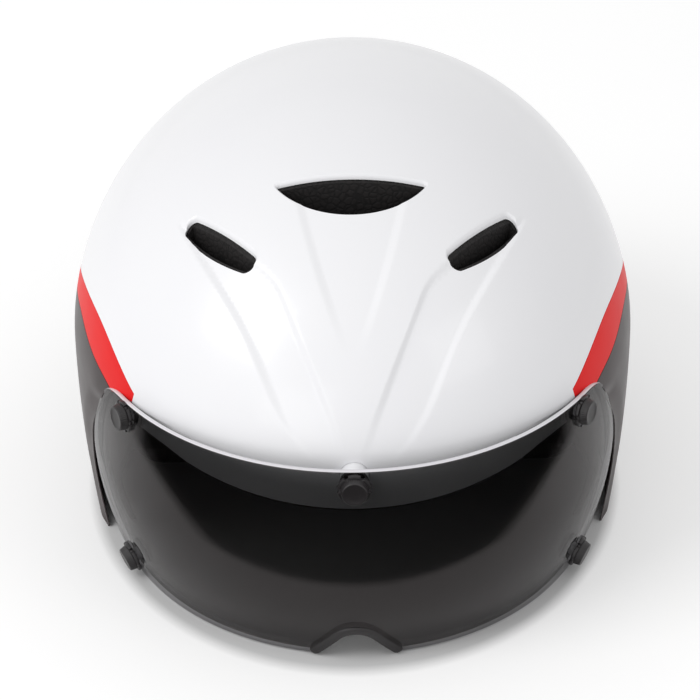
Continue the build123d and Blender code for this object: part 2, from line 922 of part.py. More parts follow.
def make_yoke():
    """The curved plate that cups the back of the head, with two windows."""
    yoke = yoke_layer(0, yoke_thick, yoke_half_width, yoke_height)
    for x in (yoke_window_x, -yoke_window_x):
        window = Pos(x, dial_z) * RectangleRounded(
            yoke_window_width, yoke_window_height, yoke_corner / 2)
        yoke -= slab_y(window, 0, overrun)
    for x in (screw_x, -screw_x):
        spacer = Pos(x, dial_z) * Circle(screw_boss_radius)
        step = slab_y(spacer, housing_front_y - yoke_thick, housing_front_y)
        yoke += step
    return yoke - screw_holes()


def make_cradle_pad():
    low = yoke_thick + pad_gap
    return yoke_layer(low, low + cradle_pad_height, yoke_half_width - cradle_pad_margin,
                      yoke_height - 2 * cradle_pad_margin)


def rack_top():
    """Height of a band's back over the dial's axis."""
    return pinion_pitch_radius + pinion_tip + running_gap + rack_bar_height


def tooth_pitch():
    return 2 * pi * pinion_pitch_radius / pinion_teeth


def rack_teeth():
    """Teeth enough to stay in mesh over the whole travel, with a lead at each end."""
    return int(rack_travel / tooth_pitch() + 2 * rack_lead_teeth) + 1


def make_pinion():
    """The gear with its two journals and its square drive."""
    tip = pinion_pitch_radius + pinion_tip
    root = pinion_pitch_radius - pinion_root
    points = []
    for k in range(pinion_teeth):
        middle = 2 * pi * k / pinion_teeth + pi / 2
        corners = ((root, -tooth_base / 2 / root), (tip, -tooth_tip / 2 / tip),
                   (tip, tooth_tip / 2 / tip), (root, tooth_base / 2 / root))
        points += [(r * cos(middle + a), r * sin(middle + a)) for r, a in corners]
    gear = Pos(0, dial_z) * make_face(Polyline(*points, close=True))
    low = rack_front_y
    high = low + rack_thick
    pinion = slab_y(gear, low, high)
    pinion += dial_bar(front_journal_radius, housing_front_y + housing_wall, low)
    pinion += dial_bar(rear_journal_radius, high, housing_rear_y + knob_gap)
    drive = Pos(0, dial_z) * Rectangle(drive_width, drive_width)
    drive_end = housing_rear_y + knob_gap + knob_length - knob_wall
    return pinion + slab_y(drive, housing_rear_y, drive_end)


def make_knob():
    """The ribbed knob: a cap with a hub, hollow over the click spring."""
    low = housing_rear_y + knob_gap
    high = low + knob_length
    knob = dial_bar(knob_radius, low, high)
    rear_rim = knob.edges().group_by(Axis.Y)[-1]
    knob = fillet(rear_rim, knob_wall / 2)
    for k in range(knob_ribs):
        turn = Pos(0, dial_z) * Rot(0, 0, 360 / knob_ribs * k)
        groove = turn * Pos(knob_radius + knob_rib_radius / 3, 0) * Circle(knob_rib_radius)
        knob -= slab_y(groove, low, high)
    hollow = dial_bar(knob_radius - knob_wall, low, low + spring_height)
    hollow -= dial_bar(rear_journal_radius + spring_width, low, low + spring_height)
    drive = Pos(0, dial_z) * Rectangle(
        drive_width + 2 * bearing_gap, drive_width + 2 * bearing_gap)
    knob -= hollow
    knob -= slab_y(drive, low, high - knob_wall + bearing_gap)
    knob -= dial_bar(screw_head_radius + bearing_gap, high - screw_head_height, high)
    return knob - dial_bar(screw_radius, low, high)


def make_dial_screw():
    """The screw in the knob's middle, from its outer face to the drive."""
    high = housing_rear_y + knob_gap + knob_length
    screw = dial_bar(screw_head_radius, high - screw_head_height, high - bearing_gap)
    slot = Pos(0, dial_z) * Rectangle(2 * screw_head_radius, screw_radius / 2)
    screw -= slab_y(slot, high - screw_head_height / 2, high)
    return screw + dial_bar(screw_radius, high - knob_wall, high - screw_head_height)


def make_left_rack():
    """The upper toothed band, with its wing round the wearer's left side."""
    pitch = tooth_pitch()
    back = rack_top()
    root = back - rack_bar_height
    reach = wing_start_x + rack_inner_x
    bar = Pos((wing_start_x - rack_inner_x) / 2, (back + root) / 2) * Rectangle(
        reach, rack_bar_height)
    tip = pinion_pitch_radius - pinion_root + running_gap
    for k in range(rack_teeth()):
        x = (k - rack_lead_teeth) * pitch
        tooth = Polyline((x - rack_tooth_base / 2, root), (x - rack_tooth_tip / 2, tip),
                         (x + rack_tooth_tip / 2, tip), (x + rack_tooth_base / 2, root),
                         close=True)
        bar += make_face(tooth)
    rack = slab_y(Pos(0, dial_z) * bar, rack_front_y, rack_front_y + rack_thick)
    middle_y = rack_front_y + rack_thick / 2
    route = FilletPolyline(
        (wing_start_x - wing_thick, middle_y, dial_z),
        (wing_side_x - wing_slant_x, middle_y, dial_z),
        (wing_side_x, middle_y - wing_slant_y, dial_z),
        (wing_side_x, wing_front_y, dial_z),
        radius=wing_bend_radius,
    )
    start = Plane(origin=route @ 0, x_dir=(0, 0, 1), z_dir=route % 0)
    section = start * RectangleRounded(wing_height, wing_thick, wing_thick / 3)
    return rack + sweep(section, path=route)


def make_right_rack(left):
    """The lower toothed band: the left one turned half round the dial's axis."""
    turn = Pos(0, 0, dial_z) * Rot(0, 180, 0) * Pos(0, 0, -dial_z)
    return turn * left


def group(shapes):
    """Separate solids of one kind, kept together."""
    return Compound([solid for shape in shapes for solid in shape.solids()])


def make_parts():
    """Every piece by name, about the middle of the widest level."""
    upper, bands, lower = split_skin(make_skin())
    stripes = largest(bands, 2)
    left_first = stripes[0].center().X > 0
    parts = {
        "upper_shell": largest(upper, 1)[0],
        "stripe_left": stripes[0] if left_first else stripes[1],
        "stripe_right": stripes[1] if left_first else stripes[0],
        "lower_shell": largest(lower, 1)[0],
        "foam_liner": largest(make_liner(), 1)[0],
    }
    pads = make_pads()
    for name, pad in zip(("brow_pad", "crown_pad", "side_pad_left", "side_pad_right"), pads):
        parts[name] = pad
    parts["pad_dots"] = make_dots()

    lens = make_lens()
    planes = button_planes()
    top_planes = top_button_planes()
    parts["visor_lens"] = lens
    parts["nose_trim"] = make_nose_trim(lens)
    parts["button_bases"] = group([make_button_base(plane) for plane in planes])
    parts["button_caps"] = group([make_button_cap(plane) for plane in planes])
    parts["magnet_cups"] = group([make_cup(plane) for plane in planes])
    parts["visor_magnets"] = group([make_visor_magnet(plane) for plane in planes])
    parts["magnet_seats"] = group([make_seat(plane) for plane in top_planes])
    parts["shell_magnets"] = group([make_shell_magnet(plane) for plane in top_planes])

    front, rear, left, right, divider = make_straps()
    straps = [strap for one in (front, rear) for strap in both_sides(one)]
    parts["front_strap_left"], parts["front_strap_right"] = both_sides(front)
    parts["rear_strap_left"], parts["rear_strap_right"] = both_sides(rear)
    parts["strap_divider_left"], parts["strap_divider_right"] = both_sides(divider)
    parts["strap_anchors"] = make_anchors(straps)
    parts["chin_strap_left"] = left
    parts["chin_strap_right"] = right
    parts["buckle_socket"] = make_socket(left)
    parts["buckle_plug"] = make_plug(right)
    parts["strap_keeper"] = make_keeper(left)

    parts["height_guide"] = make_guide()
    parts["dial_housing"] = make_housing()
    parts["dial_cover"] = make_cover()
    parts["click_spring"] = make_spring()
    parts["housing_screws"] = make_screws()
    parts["cradle_yoke"] = make_yoke()
    parts["cradle_pad"] = make_cradle_pad()
    parts["dial_pinion"] = make_pinion()
    parts["dial_knob"] = make_knob()
    parts["dial_screw"] = make_dial_screw()
    rack = make_left_rack()
    parts["rack_left"] = rack
    parts["rack_right"] = make_right_rack(rack)
    return parts


def main():
    os.makedirs("parts", exist_ok=True)
    place = Pos(0, -middle_y, floor_drop)
    for name, shape in make_parts().items():
        export_step(place * shape, os.path.join("parts", name + ".step"))


main()
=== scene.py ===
import bpy
import json
import math
import numpy as np
from mathutils import Matrix, Vector


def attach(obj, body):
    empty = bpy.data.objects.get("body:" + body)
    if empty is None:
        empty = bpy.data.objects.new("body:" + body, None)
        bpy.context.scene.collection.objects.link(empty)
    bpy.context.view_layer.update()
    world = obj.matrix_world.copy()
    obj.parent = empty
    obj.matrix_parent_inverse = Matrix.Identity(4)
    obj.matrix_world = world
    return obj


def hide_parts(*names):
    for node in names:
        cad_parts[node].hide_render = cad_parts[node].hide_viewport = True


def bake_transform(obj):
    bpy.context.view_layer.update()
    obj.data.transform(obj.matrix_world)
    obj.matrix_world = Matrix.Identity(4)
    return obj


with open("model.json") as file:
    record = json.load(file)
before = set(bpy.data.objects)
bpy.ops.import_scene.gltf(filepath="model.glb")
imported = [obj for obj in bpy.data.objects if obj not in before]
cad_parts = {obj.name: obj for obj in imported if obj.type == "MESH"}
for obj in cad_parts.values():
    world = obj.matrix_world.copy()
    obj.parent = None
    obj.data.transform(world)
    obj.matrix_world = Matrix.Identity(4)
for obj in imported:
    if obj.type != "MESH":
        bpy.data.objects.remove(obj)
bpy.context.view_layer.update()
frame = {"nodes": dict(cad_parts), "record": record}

# Every shape is worked out in millimetres about the middle of the shell's widest
# level, and place() takes it to the frame. +Z is up and the face looks to -Y.
shell = {
    "halfWidth": 103.0, "front": 121.0, "rear": 150.0, "crown": 93.5, "sideFall": 224.0,
    "floor": 70.0, "wall": 1.8, "seam": 0.25, "frontCrowd": 0.22, "aboveShare": 0.66,
    "below": 6.0, "poleAngle": 0.004, "columns": 440, "rows": 190, "innerColumns": 150,
    "innerRows": 60,
}
lens = {
    "reach": 117.0, "halfWidth": 97.5, "setback": 12.0, "wall": 2.2, "waist": 27.0,
    "curl": 96.5, "top": 10.3, "footGap": 0.6, "clearance": 2.4, "rebateGap": 1.2,
    "rim": 0.5, "edgeShare": 0.1, "buttonStand": 3.8, "sharp": 0.6, "columnEase": 0.38,
    "rowEase": 0.55, "columns": 300, "rows": 110,
}
far = 400.0  # well beyond the helmet on every side
squeeze = lens["halfWidth"] / lens["reach"]
# the face of the middle button is the foremost point
middleY = (lens["reach"] + lens["setback"] + lens["buttonStand"] - shell["rear"]) / 2


def place(points):
    # millimetres about the widest level -> metres in the frame
    moved = np.asarray(points, float) + (0, middleY, shell["floor"])
    return moved / 1000


# Small tools for meshes


def smooth(t):
    # t*t*(3 - 2t), held between 0 and 1
    t = np.clip(t, 0, 1)
    return t * t * (3 - 2 * t)


def unit(vectors):
    # each vector divided by its length
    return vectors / np.maximum(np.linalg.norm(vectors, axis=-1, keepdims=True), 1e-9)


def lerp(a, b, t):
    return a + (b - a) * t


def fullTurn(sides):
    # angles evenly round a circle
    return np.linspace(0, 2 * math.pi, sides, endpoint=False)


def runningLength(points):
    # how far each point lies along a line
    step = np.linalg.norm(np.diff(points, axis=0), axis=1)
    return np.concatenate([[0], np.cumsum(step)])


def leftOf(points):
    # directions to the left of an open line, one at each point
    run = unit(np.gradient(points, axis=0))
    return np.column_stack([-run[:, 1], run[:, 0]])


def spline(points, spacing=1.5):
    # natural cubic through the points over their running length, sampled evenly
    points = np.asarray(points, float)
    s = runningLength(points)
    step = np.diff(s)
    count = len(points)
    matrix = np.eye(count)
    right = np.zeros_like(points)
    for i in range(1, count - 1):
        matrix[i, i - 1:i + 2] = (step[i - 1], 2 * (step[i - 1] + step[i]), step[i])
        rise = np.diff(points[i - 1:i + 2], axis=0) / step[i - 1:i + 1, None]
        right[i] = 6 * (rise[1] - rise[0])
    bend = np.linalg.solve(matrix, right)
    at = np.linspace(0, s[-1], max(int(s[-1] / spacing), 2))
    k = np.clip(np.searchsorted(s, at, side="right") - 1, 0, count - 2)
    h = step[k, None]
    a = (s[k + 1] - at)[:, None]
    b = (at - s[k])[:, None]
    ends = (points[k] / h - bend[k] * h / 6) * a + (points[k + 1] / h - bend[k + 1] * h / 6) * b
    return bend[k] * a ** 3 / (6 * h) + bend[k + 1] * b ** 3 / (6 * h) + ends


def filletLine(points, radii, parts=14):
    # straight runs joined by arcs that touch both runs
    points = [np.asarray(p, float) for p in points]
    path = [points[0]]
    for before, corner, after, radius in zip(points, points[1:], points[2:], radii):
        a = unit(before - corner)
        b = unit(after - corner)
        half = math.acos(np.clip(a @ b, -1, 1)) / 2
        axis = unit(a + b)
        middle = corner + axis * radius / math.sin(half)
        start = corner + a * radius / math.tan(half)
        end = corner + b * radius / math.tan(half)
        t = np.linspace(0, 1, parts)[:, None]
        chord = lerp(start, end, t) - middle
        path.extend(middle + unit(chord) * radius)
    path.append(points[-1])
    return np.array(path)


def newObject(name, mesh):
    piece = bpy.data.objects.new(name, mesh)
    bpy.context.scene.collection.objects.link(piece)
    return piece


def buildMesh(name, points, faces, flat=False):
    # points in millimetres, faces as lists of their points' numbers
    mesh = bpy.data.meshes.new(name)
    mesh.from_pydata(place(points), [], faces)
    mesh.validate()
    mesh.shade_flat() if flat else mesh.shade_smooth()
    return mesh


def ringFaces(rings, sides):
    # quads between neighbouring rings of a grid of points
    base = np.arange(rings - 1)[:, None] * sides
    i = np.arange(sides)
    j = (i + 1) % sides
    quads = np.stack([base + i, base + j, base + sides + j, base + sides + i], -1)
    return quads.reshape(-1, 4).tolist()


def ringMesh(name, rings, flip=False):
    # closed rings stacked into a tube, with a fan of triangles at each end
    count, sides = rings.shape[:2]
    points = np.concatenate([rings.reshape(-1, 3), [rings[0].mean(0), rings[-1].mean(0)]])
    i = np.arange(sides)
    j = (i + 1) % sides
    first = np.full(sides, count * sides)
    base = (count - 1) * sides
    faces = ringFaces(count, sides)
    faces += np.stack([first, j, i], -1).tolist()
    faces += np.stack([first + 1, base + i, base + j], -1).tolist()
    if flip:
        faces = [face[::-1] for face in faces]
    return buildMesh(name, points, faces)


def prismX(outline):
    # an outline in (y, z) drawn out along X
    sides = len(outline)
    ends = [np.column_stack([np.full(sides, x), outline]) for x in (-far, far)]
    faces = ringFaces(2, sides) + [list(range(sides))[::-1], list(range(sides, 2 * sides))]
    turn = np.roll(outline, -1, 0)
    area = np.sum(outline[:, 0] * turn[:, 1] - turn[:, 0] * outline[:, 1])
    if area < 0:
        faces = [face[::-1] for face in faces]
    return buildMesh("prism", np.concatenate(ends), faces, flat=True)


def worked(piece):
    # the piece's mesh with its modifiers worked in
    bpy.context.view_layer.update()
    graph = bpy.context.evaluated_depsgraph_get()
    return bpy.data.meshes.new_from_object(piece.evaluated_get(graph))


def combine(first, other, operation="DIFFERENCE"):
    # the first mesh less the other, or what the two share
    a = newObject("cutFirst", first)
    b = newObject("cutOther", other)
    cut = a.modifiers.new("cut", "BOOLEAN")
    cut.operation = operation
    cut.solver = "MANIFOLD"
    cut.object = b
    mesh = worked(a)
    bpy.data.objects.remove(a)
    bpy.data.objects.remove(b)
    return mesh


def cutAll(mesh, cutters):
    # the mesh less every cutter in turn
    for cutter in cutters:
        mesh = combine(mesh, cutter)
    return mesh


def readArray(items, key, width=1, kind=float):
    # one attribute of every item, with a row for each
    values = np.empty(len(items) * width, kind)
    items.foreach_get(key, values)
    return values.reshape(-1, width) if width > 1 else values


def backPlace(points):
    # the inverse of place()
    return points * 1000 - (0, middleY, shell["floor"])


def meshPoints(mesh):
    return backPlace(readArray(mesh.vertices, "co", 3))


def setPoints(mesh, points):
    mesh.vertices.foreach_set("co", place(points).ravel())


# The shell's outlines from the side, in (y, z), about the widest level

sideLines = {
    "brow": [(-121, -9.0), (-108.9, -4.9), (-94, -0.35), (-79, 0)],
    "stripeTop": [(-80.5, 13.2), (-68, 20.8), (-51.5, 26.7), (-37, 28), (-18, 26.5),
                  (3, 21.5), (45, 11)],
    "stripeLow": [(45, 11), (-1, 16.1), (-30, 18.9), (-54, 12.8), (-67.8, 8.1), (-79, 0)],
    "tailSeam": [(45, 11), (90, 5.1), (157.5, 0)],
    "port": [(-79, 0), (-66, -20.3), (-52, -38.5), (-40, -56), (-34, -70)],
    "rim": [(51, -70), (70.5, -65), (102, -46), (129, -32), (157.5, -27)],
}
curves = {name: spline(points) for name, points in sideLines.items()}


def whiteOutline():
    # above the brow edge, the stripe's top edge and the tail's seam
    brow, top, tail = curves["brow"], curves["stripeTop"], curves["tailSeam"]
    return np.concatenate([[(-far, brow[0][1])], brow, top, tail[1:],
                           [(far, 0), (far, far), (-far, far)]])


def stripeOutline():
    # between the stripe's two edges
    return np.concatenate([curves["stripeTop"], curves["stripeLow"][1:]])


def belowOutline():
    # under the face opening's edge and the rim, in one piece
    brow, port, rim = curves["brow"], curves["port"], curves["rim"]
    return np.concatenate([[(-far, brow[0][1])], brow, port[1:], rim,
                           [(far, rim[-1][1]), (far, -far), (-far, -far)]])


# The lens's outline from the side: shares of the shell's front reach and of its floor height

lensSide = {
    "rearShare": -0.554, "heelShare": -0.27,
    "cornerShares": [(-0.33, -0.3), (-0.235, -0.62), (-0.215, -0.78)],
    "radiusShares": (0.165, 0.45, 0.2, 0.115, 0.05),
}


def lensBottom():
    return -(shell["floor"] - lens["footGap"])


def lensOutline():
    # level top, broad corner, slanting rear edge, heel
    front, top, bottom = shell["front"], lens["top"], lensBottom()
    corners = [(y * front, z * shell["floor"]) for y, z in lensSide["cornerShares"]]
    ends = (lensSide["rearShare"] * front, top), (lensSide["heelShare"] * front, bottom)
    radii = [front * share for share in lensSide["radiusShares"]]
    return filletLine([(-far, top), ends[0], *corners, ends[1], (-far, bottom)], radii)


def offsetLine(points, distance):
    # an open outline moved to its left
    return points + leftOf(points) * distance


# The shell's outer form: an oval dome with shallow flutes

# x of a flute's outer and inner edge is a polynomial of the centimetres above "level"
flute = {
    "depth": 1.35, "wallWidth": 3.6, "fadeLow": 6.0, "fadeHigh": 40.0,
    "outer": (32.7, 5.68, 1.05, 0.41), "inner": (15.0, 4.84, 0.3), "level": 40.0,
    "lowest": 5.0, "highest": 75.0, "endWidth": 2.0, "intakeInner": (33.5, -80.0),
    "intakeOuter": (56.5, -56.0),
}
valley = {"depth": 0.9, "half": 7.0, "spread": 0.45, "level": 54.0, "low": 40.0, "fade": 22.0,
          "bowY": -54.5, "bow": 7.5, "bowHalf": 26.0}


def fluteDepth(p):
    # two channels from the side intakes down to the brow, and one under the middle intake
    x, y, z = np.abs(p[..., 0]), p[..., 1], p[..., 2]
    lift = (np.clip(z, flute["lowest"], flute["highest"]) - flute["level"]) / 10
    outer, inner = (sum(share * lift ** power for power, share in enumerate(flute[edge]))
                    for edge in ("outer", "inner"))
    wide = flute["wallWidth"]
    side = smooth((x - inner) / wide + 0.5) * smooth((outer - x) / wide + 0.5)
    fade = smooth((z - flute["fadeLow"]) / (flute["fadeHigh"] - flute["fadeLow"]))
    a, b = np.array(flute["intakeInner"]), np.array(flute["intakeOuter"])
    run = unit(b - a)
    ahead = (x - a[0]) * run[1] - (y - a[1]) * run[0]
    channels = flute["depth"] * side * fade * smooth(ahead / flute["endWidth"] + 0.5)
    half = valley["half"] + valley["spread"] * (z - valley["level"])
    bow = valley["bowY"] - valley["bow"] * (1 - np.minimum(x / valley["bowHalf"], 1) ** 2)
    middle = smooth((half - x) / wide + 0.5) * smooth((z - valley["low"]) / valley["fade"])
    middle = middle * smooth((bow - y) / flute["endWidth"] + 0.5)
    return (channels + valley["depth"] * middle) * (y < 0)


# the ear cover's edge beside the lens, rolled in
edgeRoll = {"depth": 1.5, "width": 8.0, "high": 3.0, "low": -5.0}
rollLine = offsetLine(lensOutline(), -lens["rebateGap"])


def rollDepth(p):
    # the ear cover dips along the lens's rear edge, most right at the edge
    flat, deep = p.reshape(-1, 3), np.zeros(p.size // 3)
    level = smooth((edgeRoll["high"] - flat[:, 2]) / (edgeRoll["high"] - edgeRoll["low"]))
    front = np.nonzero((level > 0) & (flat[:, 1] < 0))[0]
    a, b = rollLine[:-1], rollLine[1:]
    run = b - a
    # in batches of some thousands, to save memory
    for some in np.array_split(front, max(len(front) // 4000, 1)):
        q = flat[some][:, None, 1:]
        share = np.clip(np.sum((q - a) * run, -1) / np.sum(run * run, -1), 0, 1)
        away = np.linalg.norm(q - a - share[..., None] * run, axis=-1).min(1)
        deep[some] = level[some] * (1 - smooth(away / edgeRoll["width"]))
    return edgeRoll["depth"] * deep.reshape(p.shape[:-1])


def pressedDepth(p):
    # flutes and rolled edge together
    return fluteDepth(p) + rollDepth(p)


def ovalValue(p):
    # signed distance to the oval form, to first order: above 0 is outside
    radii = np.stack([np.full(p.shape[:-1], shell["halfWidth"]),
                      np.where(p[..., 1] < 0, shell["front"], shell["rear"]),
                      np.where(p[..., 2] > 0, shell["crown"], shell["sideFall"])], -1)
    size = np.linalg.norm(p / radii, axis=-1)
    slope = np.linalg.norm(p / radii ** 2, axis=-1)
    return (size - 1) * size / np.maximum(slope, 1e-9)


def outerValue(p):
    # the oval form with its flutes and rolled edge pressed in
    return ovalValue(p) + pressedDepth(p)


def gradient(value, p, step=0.15):
    # outward direction of a form, by differences of its value
    parts = []
    for axis in range(3):
        shift = np.zeros(3)
        shift[axis] = step
        parts.append(value(p + shift) - value(p - shift))
    return unit(np.stack(parts, -1))


def domeBlank(inset, columns, rows):
    # rings from the crown down: x and y shrink as sqrt(1 - (z/height)^2)
    width = shell["halfWidth"] - inset
    lean = np.linspace(-1, 1, columns, endpoint=False)
    angle = -math.pi / 2 + math.pi * (lean - shell["frontCrowd"] * np.sin(math.pi * lean))
    top = np.linspace(shell["poleAngle"], math.pi / 2, int(rows * shell["aboveShare"]))
    above = (shell["crown"] - inset) * np.cos(top)
    drop = np.linspace(0, -shell["floor"] - shell["below"], rows - len(top) + 1)[1:]
    shrink = np.sqrt(1 - (drop / (shell["sideFall"] - inset)) ** 2)
    share = np.concatenate([np.sin(top), shrink])[:, None]
    z = np.concatenate([above, drop])[:, None]
    reach = np.where(np.sin(angle) < 0, shell["front"], shell["rear"]) - inset
    points = np.stack(np.broadcast_arrays(
        share * width * np.cos(angle), share * (reach * np.sin(angle)), z), -1)
    if not inset:
        points = points - gradient(ovalValue, points) * pressedDepth(points)[..., None]
    return ringMesh("dome", points, flip=True)


def lensRadius(z, inset=0.0):
    # straight above the waist, a circle of the curl's radius below it
    under = np.minimum(z + lens["waist"], 0)
    curl = lens["curl"] - inset
    return lens["reach"] - lens["curl"] + np.sqrt(np.maximum(curl ** 2 - under ** 2, 0))


def lensPoint(angle, z, inset=0.0):
    # a place on the lens's face: the angle turns from straight ahead
    radius = lensRadius(z, inset)
    x = (lens["halfWidth"] - inset) / (lens["reach"] - inset) * radius * np.sin(angle)
    y = -radius * np.cos(angle) - lens["setback"]
    return np.stack(np.broadcast_arrays(x, y, z), -1)


def lensFace(x, z):
    # a place on the lens's face, from its place seen from the front
    y = -np.sqrt(lensRadius(z) ** 2 - (x / squeeze) ** 2) - lens["setback"]
    return np.stack([x, y, z], -1)


def lensNormal(p):
    # outward from the lens's face: its radius shrinks by the slope below the waist
    under = np.minimum(p[..., 2] + lens["waist"], 0)
    slope = -under / np.sqrt(lens["curl"] ** 2 - under ** 2)
    y = p[..., 1] + lens["setback"]
    return unit(np.stack([p[..., 0] / squeeze ** 2, y, -lensRadius(p[..., 2]) * slope], -1))


def lensSolid(inset):
    # everything inside the lens's face, as far as the middle of the helmet
    floor = -shell["floor"]
    z = np.concatenate([[floor * 1.1], np.linspace(floor, -lens["waist"], 26), [shell["crown"]]])
    angle = np.linspace(-math.pi / 2, math.pi / 2, 180)
    return ringMesh("lensSolid", lensPoint(angle, z[:, None], inset))


# Openings for air

intakes = {
    "halfWidth": 26.0, "rearY": -54.5, "depth": 15.0, "sweep": 0.965, "straight": 0.93,
    "corner": ((0.985, -0.55), (0.95, 0.0)),
    "inner": (33.0, -80.2), "outer": (56.0, -54.8), "sideWidth": 5.0, "sideBow": 2.4,
    "exhaustX": 34.0, "exhaustZ": 44.0, "exhaustLength": 34.0, "exhaustWidth": 9.0,
    "exhaustTilt": 24.0, "lip": 1.5, "lipRise": 0.12, "cutAbove": 8.0, "cutBelow": 40.0,
}


def middleIntake():
    # a straight rear edge and a bowed front edge, with small round corners
    half, rear = intakes["halfWidth"], intakes["rearY"]
    radius = (half ** 2 + intakes["depth"] ** 2) / (2 * intakes["depth"])
    middle = rear - intakes["depth"] + radius
    sweep = math.asin(half / radius) * intakes["sweep"]
    angle = np.linspace(-sweep, sweep, 60)
    bow = np.column_stack([radius * np.sin(angle), middle - radius * np.cos(angle)])
    ends = np.array(intakes["corner"]) * (half, 1) + (0, rear)
    across = np.linspace(1, -1, 40) * half * intakes["straight"]
    straight = np.column_stack([across, np.full(40, rear)])
    return np.concatenate([bow, ends, straight, ends[::-1] * (-1, 1)])


def roundSlot(reach, half, capParts, sideParts):
    # a slot with round ends along the first axis, about the origin
    turn = np.linspace(-math.pi / 2, math.pi / 2, capParts)
    cap = np.column_stack([reach - half + half * np.cos(turn), half * np.sin(turn)])
    t = np.linspace(0, 1, sideParts)[1:-1, None]
    return np.concatenate([cap, lerp(cap[-1], -cap[0], t), -cap, lerp(-cap[-1], cap[0], t)])


def setSlot(outline, run, middle, side):
    # the slot laid along a direction and moved, or its mirror image
    across = (-run[1], run[0])
    outline = (outline @ np.array([run, across]) + middle) * (side, 1)
    return outline if side > 0 else outline[::-1]


def sideIntake(side):
    # a slanted slot whose front edge bows out by a parabola
    a, b = np.array(intakes["inner"]), np.array(intakes["outer"])
    half = intakes["sideWidth"] / 2
    reach = np.linalg.norm(b - a) / 2
    outline = roundSlot(reach, half, 16, 24)
    front = np.clip(-outline[:, 1] / half, 0, 1)
    outline[:, 1] -= intakes["sideBow"] * front * (1 - (outline[:, 0] / reach) ** 2)
    return setSlot(outline, unit(b - a), (a + b) / 2, side)


def exhaust(side):
    # a slanted slot, in (x, z)
    tilt = math.radians(-intakes["exhaustTilt"])
    outline = roundSlot(intakes["exhaustLength"] / 2, intakes["exhaustWidth"] / 2, 18, 16)
    return setSlot(outline, (math.cos(tilt), math.sin(tilt)),
                   (intakes["exhaustX"], intakes["exhaustZ"]), side)


def ventCutter(outline, fromRear=False):
    # a prism that flares in a quarter round where it meets the oval form
    run = unit(np.roll(outline, -1, 0) - np.roll(outline, 1, 0))
    out = np.column_stack([run[:, 1], -run[:, 0]])
    lip, rise = intakes["lip"], intakes["lipRise"]
    curve = lip * (1 - np.cos(np.linspace(0.0, math.pi / 2, 9))) - rise
    depth = np.concatenate([[-intakes["cutAbove"]], curve, [lip + intakes["cutBelow"]]])
    under = np.clip(depth + rise, 0, lip)
    grow = lip - np.sqrt(lip ** 2 - (lip - under) ** 2)
    grow[0] = lip * 3  # the first ring stands clear above the skin
    grow[-1] = 0
    axis, high, long = (1, "rear", "crown") if fromRear else (2, "crown", "front")
    rings = []
    for sink, wide in zip(depth, grow):
        flat = outline + out * wide
        share = flat / (shell["halfWidth"], shell[long])
        form = shell[high] * np.sqrt(1 - np.sum(share ** 2, 1))
        rings.append(np.insert(flat, axis, form - sink, axis=1))
    return ringMesh("vent", np.array(rings), flip=not fromRear)


# The buttons' places on the lens, their seats in the shell and their holes

mounts = {
    "topX": 79.0, "topDrop": 5.6, "middleDrop": 6.6, "lowX": 80.0, "lowZ": -61.5,
    "seatRadius": 5.0, "seatClearance": 0.15, "seatDepth": 10.0, "seatFace": 4.3,
    "screwRadius": 2.45, "through": (-6.0, 3.0),
}


def lensFrame(x, z):
    # the lens's face at a point: its place and three directions, the last outward
    middle = lensFace(*np.array((x, z), float))
    normal = lensNormal(middle)
    side = np.array([-middle[1] - lens["setback"], x, 0.0])
    side = unit(side - normal * (side @ normal))
    return middle, side, np.cross(normal, side), normal


def buttonFrames():
    # the middle one, the two beside it and the two low ones
    top = lens["top"]
    places = [(0, top - mounts["middleDrop"])]
    for x, z in ((mounts["topX"], top - mounts["topDrop"]), (mounts["lowX"], mounts["lowZ"])):
        places += [(x, z), (-x, z)]
    return [lensFrame(x, z) for x, z in places]


def turned(frameHere, radius, height, sides=64):
    # rings about a button's axis: radius and height arrays, or radius by ring and angle
    origin, side, up, out = frameHere
    angle = fullTurn(sides)
    radius = np.asarray(radius, float)
    radius = radius[:, None] * np.ones(sides) if radius.ndim == 1 else radius
    height = np.asarray(height, float)[:, None, None]
    flat = side * np.cos(angle)[:, None] + up * np.sin(angle)[:, None]
    return origin + radius[..., None] * flat + height * out


def drill(frameHere, radius, heights):
    # a round cutter along a button's axis
    return ringMesh("hole", turned(frameHere, [radius, radius], heights))


# The skins

skinNormals = {"sharp": 0.5, "near": 0.25, "along": 0.93}


def finishNormals(mesh):
    # smooth by angle, then exact directions where a corner lies on the outer form
    mesh.set_sharp_from_angle(angle=skinNormals["sharp"])
    points = meshPoints(mesh)
    corner = readArray(mesh.loops, "vertex_index", kind=int)
    normals = readArray(mesh.corner_normals, "vector", 3)
    count = readArray(mesh.polygons, "loop_total", kind=int)
    faceNormal = np.repeat(readArray(mesh.polygons, "normal", 3), count, 0)
    near = np.abs(outerValue(points)) < skinNormals["near"]
    exact = gradient(outerValue, points)[corner]
    use = near[corner] & (np.sum(exact * faceNormal, 1) > skinNormals["along"])
    normals[use] = exact[use]
    mesh.normals_split_custom_set(normals.tolist())


